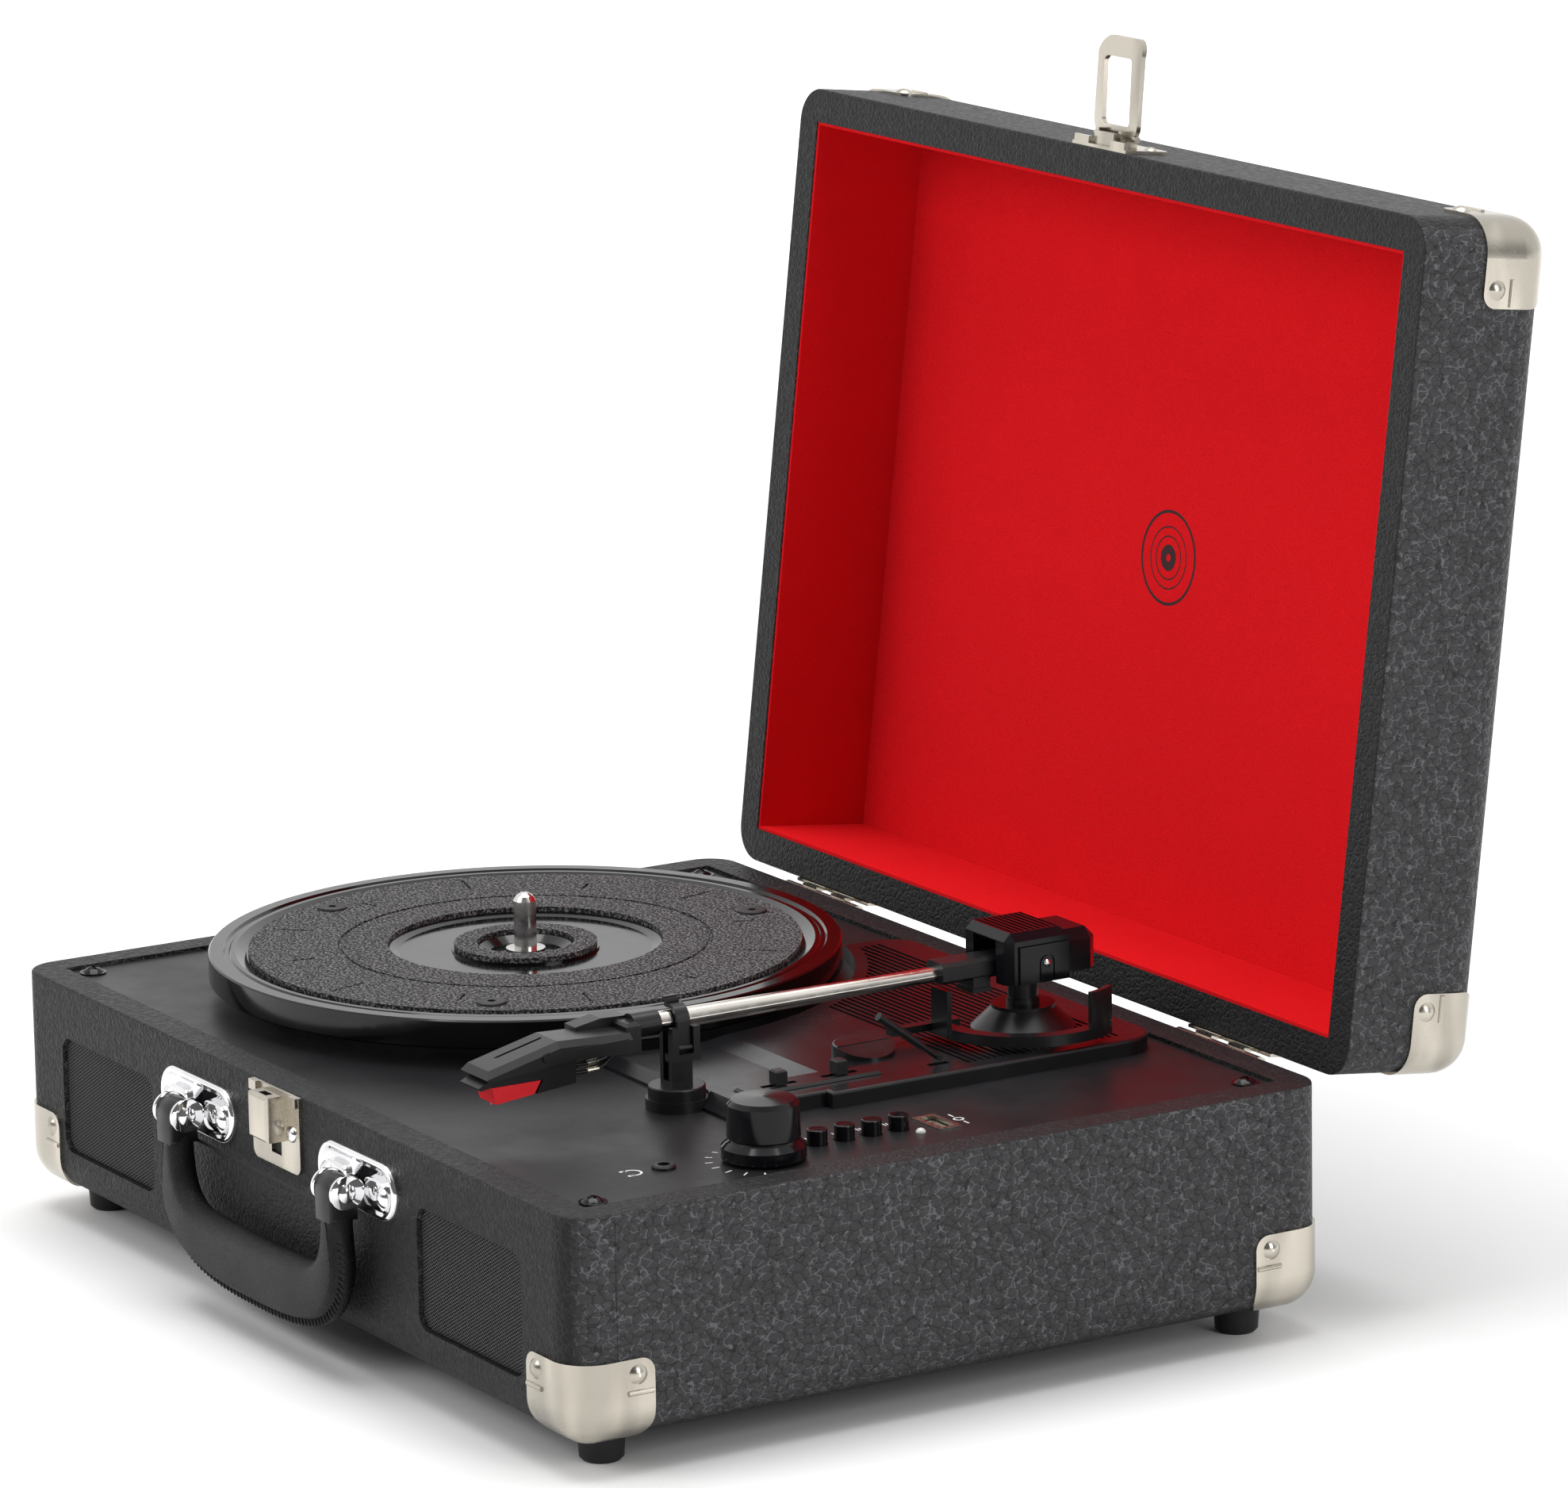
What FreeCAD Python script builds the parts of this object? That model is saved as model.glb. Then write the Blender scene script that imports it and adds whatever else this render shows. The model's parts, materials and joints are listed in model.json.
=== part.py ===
"""Suitcase record player: a vinyl-covered case with a belt-driven turntable, shown with its lid open.

Millimetres, +Z up. The origin is on the floor under the middle of the lower case, +X is to the
right as seen from the handle side, and +Y points to the hinges. The lid is drawn shut and is then
turned about its hinge line to the open position.
"""
import FreeCAD, Part
import math
import os
import re

import Sketcher

OUT = "parts"

SIZES = {
    # cases
    "case_w": 352.0, "case_front": -165.7, "case_back": 92.3, "base_tall": 68.2, "lid_tall": 47.3,
    "foot_tall": 9.4,
    "wall_t": 10.8, "floor_t": 6.0, "roof_t": 5.2, "edge_round": 11.0, "rim_round": 0.8, "block_w": 22.0,
    "lid_gap": 0.3, "lining_t": 1.0, "lid_open": 96.8,
    # hinges
    "hinge_back": 3.0, "hinge_drop": 3.3, "hinge_x": 115.0, "hinge_w": 44.0, "barrel_r": 2.2,
    "hinge_pin_r": 1.0, "leaf_t": 1.0, "leaf_tall": 15.0, "knuckles": 5.0, "knuckle_gap": 0.3,
    # corner protectors and feet
    "guard_t": 0.8, "guard_l": 26.0, "guard_rivet": 20.5, "guard_flat_rivet": 16.5,
    "guard_round": 9.5, "guard_tab_round": 4.5, "rivet_r": 3.0, "rivet_rise": 1.3,
    "foot_r": 7.1, "foot_tip_r": 6.5, "foot_inset": 19.5, "foot_bore_r": 3.4, "foot_bore_deep": 6.0,
    # speakers
    "grille_x": 116.0, "grille_z": 42.5, "grille_w": 62.0, "grille_tall": 37.0, "grille_round": 5.0,
    "grille_t": 1.2, "grille_inset": 1.6, "cone_r": 24.0, "magnet_r": 13.0, "magnet_deep": 12.0,
    # deck
    "deck_drop": 1.2, "deck_t": 3.0, "deck_fit": 0.25, "screw_inset": 17.3, "screw_head_r": 3.4,
    "screw_rise": 1.6, "screw_core_r": 1.6, "screw_len": 12.0,
    # platter and drive
    "platter_x": -64.8, "platter_y": -44.1, "platter_r": 99.0, "platter_top": 91.4,
    "platter_skirt": 9.0, "skirt_t": 3.0, "mat_r": 86.5, "mat_t": 1.4, "mat_hole_r": 43.0,
    "mat_groove_r": 58.0, "centre_mat_r": 22.4, "centre_hole_r": 14.5, "hub_r": 12.0,
    "spindle_r": 3.55, "spindle_top": 106.6, "spindle_low": 62.0, "shaft_r": 3.0, "shaft_fit": 0.06,
    "bush_r": 6.0, "bush_flange_r": 8.5, "ring_r": 60.0, "ring_t": 3.0, "cap_orbit": 77.5,
    "cap_r": 4.6, "cap_tall": 2.2, "cap_hole_r": 1.3, "pulley_orbit": 80.0, "pulley_r": 4.5,
    "belt_t": 0.9, "belt_tall": 3.6, "belt_fit": 0.05, "motor_r": 14.0, "motor_tall": 22.0,
    # console under the tonearm
    "console_tall": 5.0, "console_gap": 4.0, "console_front": -73.2, "console_back": 76.3,
    "console_right": 113.0, "console_left": -36.0, "console_step": 3.5, "console_step_y": -40.7,
    "console_bevel": 4.0, "console_round": 12.0, "rib_pitch": 2.4, "rib_w": 1.2, "rib_deep": 0.8,
    "rib_first": 10.3, "rib_count": 23.0, "rib_margin": 6.0, "facet_y": -40.7, "facet_w": 9.0,
    "facet_deep": 0.9,
    # tonearm
    "pivot_x": 84.0, "pivot_y": 44.8, "arm_z": 103.2, "tube_front": -83.7, "tube_back": 19.5,
    "tube_r_front": 3.1, "tube_r_back": 2.3, "tube_bore_r": 1.2, "pitch_z": 105.0, "pitch_pin_r": 1.2,
    "house_half": 13.0, "house_front": 31.3, "house_back": 53.3, "house_low": 99.2,
    "house_top": 115.0, "neck_w": 9.5, "neck_tall": 6.5, "weight_len": 11.5,
    "post_r": 4.6, "cone_top_r": 9.8, "turret_r": 16.0, "turret_low": 81.4, "turret_high": 90.0,
    # tonearm rest
    "rest_y": -76.9, "rest_foot_r": 9.4, "rest_step_r": 8.6, "rest_foot_tall": 3.2,
    "rest_step_tall": 3.8, "rest_post_w": 7.0, "clip_in_r": 3.6, "clip_out_r": 4.8, "clip_w": 4.4,
    "clip_hinge_out": 5.0, "clip_hinge_z": 95.4, "clip_pin_r": 0.5, "clip_barrel_r": 0.95,
    # cueing gear
    "rail_in_r": 24.5, "rail_out_r": 29.0, "rail_low": 83.2, "rail_tall": 3.4, "tab_t": 1.6,
    "lever_x": 103.0, "lever_y": 2.3, "lever_z": 83.4, "lever_len": 25.5, "lever_rise": 37.0,
    "lever_r": 0.9, "sleeve_r": 1.35, "pad_x": 80.0, "pad_y": -9.7, "pad_r": 9.5, "pad_tall": 3.6,
    # controls
    "knob_x": 147.5, "knob_y": -85.2, "knob_r": 10.8, "knob_skirt_r": 12.5, "knob_tall": 17.6,
    "knob_skirt_tall": 5.4, "knob_gap": 0.6, "button_x": 142.5, "button_y": -64.2,
    "button_pitch": 9.27, "button_r": 3.05, "button_rise": 4.6, "button_fit": 0.2,
    "usb_x": 143.2, "usb_y": -23.7, "usb_w": 13.2, "usb_d": 5.7, "usb_shell": 0.4, "lamp_x": 149.3,
    "lamp_y": -33.0, "lamp_r": 1.5, "jack_x": 139.0, "jack_y": -113.7, "jack_r": 3.6,
    "jack_bore_r": 1.8, "jack_deep": 12.0, "slider_x": 99.0, "slider_w": 4.2, "slider_tall": 4.4,
    "slider_slot_w": 2.4, "speed_y": -50.9, "stop_y": -30.0, "slider_len": 3.8, "slot_len": 14.0,
    "bezel_w": 9.0, "bezel_l": 46.0, "bezel_tall": 1.0, "bezel_y": -40.7,
    # latch
    "catch_w": 30.0, "catch_tall": 24.0, "catch_t": 1.0, "hook_w": 12.0, "hook_tall": 14.0,
    "hook_deep": 6.4, "hook_wall": 1.0, "latch_out": 4.0, "latch_up": 7.0, "loop_half": 12.0,
    "loop_len": 31.0, "loop_t": 2.0, "loop_bar": 4.2, "window_far": 24.6,
    "latch_pin_r": 1.1, "strap_t": 1.0,
    # handle
    "bracket_x": 51.3, "bracket_z": 60.7, "bracket_w": 47.6, "bracket_tall": 17.7,
    "bracket_t": 2.2, "handle_out": 8.3, "handle_leg_w": 9.5, "handle_t": 9.0,
    "handle_pin_z": 59.4, "handle_pin_r": 1.6, "ear_t": 2.0, "ear_r": 6.6, "handle_low": 11.0,
    "handle_grip_tall": 21.5, "handle_corner": 26.0, "handle_inner_corner": 9.0,
    # sockets in the back wall
    "inlet_x": 120.0, "line_x": 92.0, "line_pitch": 14.0, "socket_z": 38.0, "socket_r": 4.2,
    "socket_bore_r": 1.65, "inlet_bore_r": 2.8, "inlet_pin_r": 1.05,
}

doc = FreeCAD.newDocument("suitcase_record_player")
V = FreeCAD.Vector
AXIS = {"x": V(1, 0, 0), "y": V(0, 1, 0), "z": V(0, 0, 1)}


def make_sheet():
    """Put every driving size in a spreadsheet cell with its name as alias."""
    cells = doc.addObject("Spreadsheet::Sheet", "sizes")
    for row, (alias, value) in enumerate(SIZES.items(), start=1):
        cells.set("A%d" % row, alias)
        cells.set("B%d" % row, repr(value))
        cells.setAlias("B%d" % row, alias)
    doc.recompute()
    return cells


sheet = make_sheet()


def formula(text):
    """Turn a formula in plain size names into one that FreeCAD can follow to the sheet."""
    return re.sub(r"[a-z][a-z_]+[a-z]", lambda m: "sizes." + m.group(), str(text))


def value(text):
    """The number that a formula in size names comes to."""
    found = sheet.evalExpression(formula(text))
    return float(getattr(found, "Value", found))


def bind(obj, **properties):
    """Bind properties of an object to formulas in the sheet's names."""
    for name, text in properties.items():
        obj.setExpression(name, formula(text))


def put(obj, at, turn=None):
    """Place an object at three formulas, turned by (axis, degrees) about its own corner."""
    if turn:
        obj.Placement = FreeCAD.Placement(V(), FreeCAD.Rotation(AXIS[turn[0]], turn[1]))
    for axis, text in zip("xyz", at):
        obj.setExpression("Placement.Base." + axis, formula(text))
    return obj


def block(name, size, at):
    """A box of three formulas' size, with its lowest corner at three formulas."""
    box = doc.addObject("Part::Box", name)
    bind(box, Length=size[0], Width=size[1], Height=size[2])
    return put(box, at)


def slab(name, size, centre, low):
    """A box centred on two formulas in plan, standing on a level."""
    at = ["%s - (%s) / 2" % (c, s) for c, s in zip(centre, size)]
    return block(name, size, [at[0], at[1], low])


def rod(name, radius, length, at, along="z", sector=360.0, start=0.0):
    """A cylinder, or a sector of one, from a point along an axis."""
    bar = doc.addObject("Part::Cylinder", name)
    bind(bar, Radius=radius, Height=length)
    bar.Angle = sector
    lay = {"z": FreeCAD.Rotation(), "x": FreeCAD.Rotation(AXIS["y"], 90),
           "y": FreeCAD.Rotation(AXIS["x"], -90)}[along]
    bar.Placement = FreeCAD.Placement(V(), lay * FreeCAD.Rotation(AXIS["z"], start))
    return put(bar, at)


def cone(name, low_r, high_r, height, at, along="z"):
    """A cone frustum from a point along an axis."""
    body = doc.addObject("Part::Cone", name)
    bind(body, Radius1=low_r, Radius2=high_r, Height=height)
    lay = {"z": FreeCAD.Rotation(), "y": FreeCAD.Rotation(AXIS["x"], -90),
           "-y": FreeCAD.Rotation(AXIS["x"], 90)}[along]
    body.Placement = FreeCAD.Placement(V(), lay)
    return put(body, at)


def dome(name, radius, rise, at, along="z"):
    """A shallow round head: the cap of a sphere, rise high and radius wide at its foot."""
    ball = doc.addObject("Part::Sphere", name)
    r, h = value(radius), value(rise)
    big = (r * r + h * h) / (2 * h)
    ball.Radius = big
    ball.Angle1 = math.degrees(math.asin((big - h) / big))
    lay = {"z": FreeCAD.Rotation(), "x": FreeCAD.Rotation(AXIS["y"], 90),
           "-x": FreeCAD.Rotation(AXIS["y"], -90), "-y": FreeCAD.Rotation(AXIS["x"], 90),
           "y": FreeCAD.Rotation(AXIS["x"], -90), "-z": FreeCAD.Rotation(AXIS["x"], 180)}[along]
    sink = lay.multVec(V(0, 0, -(big - h)))
    ball.Placement = FreeCAD.Placement(V(), lay)
    return put(ball, ["%s + %.6f" % (p, s) for p, s in zip(at, sink)])


def cut(name, base, *tools):
    """Take tools away from a base object."""
    tool = tools[0] if len(tools) == 1 else fuse(name + "_tools", *tools)
    made = doc.addObject("Part::Cut", name)
    made.Base, made.Tool = base, tool
    return made


def fuse(name, *pieces):
    """Join touching objects into one."""
    made = doc.addObject("Part::MultiFuse", name)
    made.Shapes = list(pieces)
    made.Refine = True
    return made


def common(name, one, other):
    """Keep what two objects share."""
    made = doc.addObject("Part::Common", name)
    made.Base, made.Tool = one, other
    return made


def group(name, *pieces):
    """Separate solids that share one node."""
    made = doc.addObject("Part::Compound", name)
    made.Links = list(pieces)
    return made


def mirror(name, source, axis):
    """The mirror image of an object in the case's middle plane across an axis."""
    made = doc.addObject("Part::Mirroring", name)
    made.Source, made.Normal = source, AXIS[axis]
    made.Base = V(0, value("(case_front + case_back)/2"), 0)
    return made


def corner_spots(inset):
    """Plan positions of four points set in from the corners of the case."""
    return [(x % inset, y % inset) for x in ("case_w/2 - %s", "%s - case_w/2")
            for y in ("case_front + %s", "case_back - %s")]


def soften(name, base, radius, wanted, kind="Part::Fillet"):
    """Round or bevel the edges of base that wanted(edge) picks."""
    doc.recompute()
    made = doc.addObject(kind, name)
    made.Base = base
    size = value(radius)
    made.Edges = [(i, size, size) for i, e in enumerate(base.Shape.Edges, 1) if wanted(e)]
    return made


def runs_along(axis):
    """Pick straight edges along an axis."""
    def wanted(edge):
        line = edge.Vertexes[-1].Point - edge.Vertexes[0].Point
        return line.Length > 1e-6 and abs(line.normalize().dot(AXIS[axis])) > 0.999
    return wanted


def middle(edge):
    """An edge's middle point."""
    return edge.BoundBox.Center


def body_with(name):
    """A PartDesign body."""
    return doc.addObject("PartDesign::Body", name)


def sketch_on(body, role, name):
    """A sketch on one of a body's own origin planes."""
    made = body.newObject("Sketcher::SketchObject", name)
    plane = [f for f in body.Origin.OriginFeatures if f.Role == role][0]
    made.AttachmentSupport = [(plane, "")]
    made.MapMode = "FlatFace"
    return made


def outline(made, corners):
    """A closed outline of straight lines whose corners are pairs of formulas."""
    spots = [(value(a), value(b)) for a, b in corners]
    count = len(spots)
    for i in range(count):
        a, b = spots[i], spots[(i + 1) % count]
        made.addGeometry(Part.LineSegment(V(a[0], a[1], 0), V(b[0], b[1], 0)), False)
    for i in range(count):
        made.addConstraint(Sketcher.Constraint("Coincident", i, 2, (i + 1) % count, 1))
    for i, (across, up) in enumerate(corners):
        for kind, text, number in (("DistanceX", across, spots[i][0]), ("DistanceY", up, spots[i][1])):
            index = made.addConstraint(Sketcher.Constraint(kind, -1, 1, i, 1, number))
            made.setExpression("Constraints[%d]" % index, formula(text))
    return made


def turned(name, corners, at):
    """A body of revolution about a vertical line: corners are (radius, height) formulas."""
    body = body_with(name)
    sketch = outline(sketch_on(body, "XZ_Plane", name + "_section"), corners)
    turn = body.newObject("PartDesign::Revolution", name + "_turn")
    turn.Profile = sketch
    turn.ReferenceAxis = (sketch, ["V_Axis"])
    turn.Angle = 360.0
    body.Tip = turn
    return put(body, at)


def plate(name, role, corners, thickness, at, both=False):
    """A padded outline: corners are formulas in the plane, thickness is along its normal."""
    body = body_with(name)
    sketch = outline(sketch_on(body, role, name + "_outline"), corners)
    pad = body.newObject("PartDesign::Pad", name + "_pad")
    pad.Profile = sketch
    pad.Midplane = both
    bind(pad, Length=thickness)
    body.Tip = pad
    return put(body, at)


def label(obj, node):
    """Give an object its node's name, and count it among the object's nodes."""
    obj.Label = node
    NODES[node] = obj
    return obj


NODES = {}
RIM = "(foot_tall + base_tall)"
DECK = "(foot_tall + base_tall - deck_drop)"
CONSOLE = "(foot_tall + base_tall - deck_drop + console_tall)"
FRONT = "case_front"
BACK = "case_back"
CASE_D = "(case_back - case_front)"
HINGE_Y = "(case_back + hinge_back)"
HINGE_Z = "(foot_tall + base_tall - hinge_drop)"
LID_LOW = "(foot_tall + base_tall + lid_gap)"
SIDES = (("left", -1), ("right", 1))


def open_up(obj):
    """Turn a piece of the shut lid to the open position about the hinge line."""
    pivot = V(0, value(HINGE_Y), value(HINGE_Z))
    turn = FreeCAD.Rotation(AXIS["x"], -value("lid_open"))
    obj.Placement = FreeCAD.Placement(V(), turn, pivot).multiply(obj.Placement)
    return obj


# ---------------------------------------------------------------- cases

def rounded_case(name, grow, low, height, flat_side):
    """A case's outer form: rounded upright edges, and rounded edges away from its open side."""
    box = block(name + "_box", ("case_w + 2*%s" % grow, CASE_D + " + 2*%s" % grow, height),
                ("-case_w/2 - %s" % grow, "case_front - %s" % grow, low))
    open_level = value(low) + (value(height) if flat_side == "top" else 0)
    rounded = soften(name + "_edges", box, "edge_round + %s" % grow,
                     lambda e: abs(middle(e).z - open_level) > 1)
    return soften(name, rounded, "rim_round", lambda e: abs(middle(e).z - open_level) < 0.01)


def speaker_window(name, side, grow, deep, at_y):
    """A rounded rectangular block at one speaker's place."""
    box = block(name + "_box", ("grille_w + 2*%s" % grow, deep, "grille_tall + 2*%s" % grow),
                ("%d*grille_x - grille_w/2 - %s" % (side, grow), at_y,
                 "grille_z - grille_tall/2 - %s" % grow))
    return soften(name, box, "grille_round", runs_along("y"))


def make_base_case():
    outer = rounded_case("base_form", "0", "foot_tall", "base_tall", "top")
    hollow = block("base_hollow", ("case_w - 2*wall_t", CASE_D + " - 2*wall_t", "base_tall"),
                   ("-case_w/2 + wall_t", "case_front + wall_t", "foot_tall + floor_t"))
    windows = [speaker_window("base_window_" + n, s, "0", "wall_t + 2", "case_front - 1")
               for n, s in SIDES]
    holes = [rod("base_socket_hole_%d" % i, "socket_r + 0.1", "wall_t + 2",
                 (x, "case_back - wall_t - 1", "socket_z"), "y")
             for i, x in enumerate(("inlet_x", "line_x", "line_x - line_pitch"))]
    shell = cut("base_shell", outer, hollow, *windows, *holes)
    blocks = []
    for name, side in SIDES:
        for end, back in (("front", 0), ("rear", 1)):
            x = "case_w/2 - wall_t - block_w" if side > 0 else "-case_w/2 + wall_t"
            y = "case_back - wall_t - block_w" if back else "case_front + wall_t"
            blocks.append(block("glue_block_%s_%s" % (name, end),
                                ("block_w", "block_w", DECK + " - deck_t - foot_tall - floor_t"),
                                (x, y, "foot_tall + floor_t")))
    whole = fuse("base_case_whole", shell, *blocks)
    pilots = [rod("deck_pilot_%d" % i, "screw_core_r", "screw_len", spot + (DECK + " - screw_len",))
              for i, spot in enumerate(corner_spots("screw_inset"))]
    pilots += [rod("foot_pilot_%d" % i, "screw_core_r", "9", spot + ("foot_tall - 1",))
               for i, spot in enumerate(corner_spots("foot_inset"))]
    label(cut("base_case", whole, *pilots), "base_case")


def make_lid_case():
    outer = rounded_case("lid_form", "0", LID_LOW, "lid_tall", "bottom")
    hollow = block("lid_hollow", ("case_w - 2*wall_t", CASE_D + " - 2*wall_t", "lid_tall - roof_t"),
                   ("-case_w/2 + wall_t", "case_front + wall_t", LID_LOW))
    label(open_up(cut("lid_case", outer, hollow)), "lid_case")
    skin = block("lining_form", ("case_w - 2*wall_t", CASE_D + " - 2*wall_t",
                                 "lid_tall - roof_t - 0.6"),
                 ("-case_w/2 + wall_t", "case_front + wall_t", LID_LOW + " + 0.6"))
    inside = block("lining_space", ("case_w - 2*wall_t - 2*lining_t",
                                    CASE_D + " - 2*wall_t - 2*lining_t", "lid_tall"),
                   ("-case_w/2 + wall_t + lining_t", "case_front + wall_t + lining_t",
                    LID_LOW + " - roof_t - lining_t"))
    label(open_up(cut("lid_lining", skin, inside)), "lid_lining")


def corner_guard(name, form, skin, low, high):
    """A pressed metal corner: the shell between two rounded forms, kept near one case corner."""
    shell = cut(name + "_shell", skin, form)
    reach = "guard_l"
    keep = block(name + "_keep", (reach + " + 2", reach + " + 2", "%s - (%s)" % (high, low)),
                 ("case_w/2 - " + reach, "case_front - 2", low))
    rim_level, flat_level = value(high), value(low)
    if name == "lid_guard":
        rim_level, flat_level = flat_level, rim_level
    inner_x, inner_y = value("case_w/2 - " + reach), value("case_front + " + reach)
    outer_x, outer_y = value("case_w/2") + 2, value("case_front") - 2

    def flap_edge(edge):
        mid = middle(edge)
        on_side = (abs(mid.x - inner_x) < 0.5, abs(mid.y - inner_y) < 0.5, abs(mid.z - flat_level) < 0.5)
        return sum(on_side) == 2

    def tab_edge(edge):
        mid = middle(edge)
        return abs(mid.z - rim_level) < 0.5 and mid.x < outer_x - 0.5 and mid.y > outer_y + 0.5
    flaps = soften(name + "_keep_flaps", keep, "guard_round", flap_edge)
    return common(name, shell, soften(name + "_keep_tabs", flaps, "guard_tab_round", tab_edge))


def four_corners(name, piece):
    """A piece and its three mirror images, one at each corner."""
    side = mirror(name + "_other_side", piece, "x")
    return group(name, piece, side, mirror(name + "_rear", piece, "y"),
                 mirror(name + "_rear_other_side", side, "y"))


def rivets(name, z):
    """The two rivets of a corner guard that show on the front and on the side."""
    return [dome(name + "_front", "rivet_r", "rivet_rise",
                 ("case_w/2 - guard_rivet", "case_front - guard_t", z), "-y"),
            dome(name + "_side", "rivet_r", "rivet_rise",
                 ("case_w/2 + guard_t", "case_front + guard_rivet", z), "x")]


def make_corner_guards():
    low, high = "foot_tall - 2", "foot_tall + guard_l - 0.8"
    guard = corner_guard("base_guard", NODE_FORMS["base"],
                         rounded_case("base_skin", "guard_t", "foot_tall - guard_t",
                                      "base_tall + guard_t", "top"), low, high)
    hole = rod("guard_foot_hole", "foot_r + 0.1", "4",
               ("case_w/2 - foot_inset", "case_front + foot_inset", "foot_tall - 3"))
    guard = cut("base_guard_holed", guard, hole)
    label(four_corners("base_corners", guard), "base_corners")
    lid_top = LID_LOW + " + lid_tall"
    guard = corner_guard("lid_guard", NODE_FORMS["lid"],
                         rounded_case("lid_skin", "guard_t", LID_LOW, "lid_tall + guard_t", "bottom"),
                         lid_top + " - guard_l + 0.8", lid_top + " + 2")
    label(open_up(four_corners("lid_corners", guard)), "lid_corners")
    base = group("base_rivet_set", *rivets("base_rivet", "foot_tall + guard_rivet"))
    label(four_corners("base_corner_rivets", base), "base_corner_rivets")
    flat = dome("lid_rivet_flat", "rivet_r", "rivet_rise",
                ("case_w/2 - guard_flat_rivet", "case_front + guard_flat_rivet", lid_top + " + guard_t"),
                "z")
    lid = group("lid_rivet_set", flat, *rivets("lid_rivet", lid_top + " - guard_rivet"))
    label(open_up(four_corners("lid_corner_rivets", lid)), "lid_corner_rivets")


NODE_FORMS = {}


def make_cases():
    make_base_case()
    make_lid_case()
    NODE_FORMS["base"] = doc.getObject("base_form")
    NODE_FORMS["lid"] = doc.getObject("lid_form")
    make_corner_guards()


def make_feet():
    foot = turned("foot", [("foot_bore_r", "0"), ("foot_tip_r - 1", "0"), ("foot_tip_r", "1"),
                           ("foot_r", "foot_tall"), ("0", "foot_tall"), ("0", "foot_bore_deep"),
                           ("foot_bore_r", "foot_bore_deep")],
                  ("case_w/2 - foot_inset", "case_front + foot_inset", "0"))
    hole = rod("foot_screw_hole", "screw_core_r", "foot_tall",
               ("case_w/2 - foot_inset", "case_front + foot_inset", "1"))
    label(four_corners("feet", cut("foot_holed", foot, hole)), "feet")
    head = rod("foot_screw_head", "foot_bore_r - 0.5", "1.6",
               ("case_w/2 - foot_inset", "case_front + foot_inset", "foot_bore_deep - 1.6"))
    core = rod("foot_screw_core", "screw_core_r - 0.05", "foot_tall - foot_bore_deep + 7",
               ("case_w/2 - foot_inset", "case_front + foot_inset", "foot_bore_deep"))
    label(four_corners("foot_screws", fuse("foot_screw", head, core)), "foot_screws")


# ---------------------------------------------------------------- hinges and latch

def hinge_knuckles(name, side, first, level):
    """The barrels of one leaf: every other length of the hinge line."""
    count = int(value("knuckles"))
    pitch = "hinge_w/knuckles"
    found = []
    for i in range(first, count, 2):
        x = "%d*hinge_x - hinge_w/2 + %d*%s + knuckle_gap/2" % (side, i, pitch)
        length = pitch + " - knuckle_gap"
        barrel = rod("%s_barrel_%d" % (name, i), "barrel_r", length, (x, HINGE_Y, HINGE_Z), "x")
        web_low = HINGE_Z + " - barrel_r" if level == "base" else HINGE_Z
        web = block("%s_web_%d" % (name, i), (length, "hinge_back", "barrel_r"),
                    (x, BACK, web_low))
        found += [barrel, web]
    return found


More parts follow.
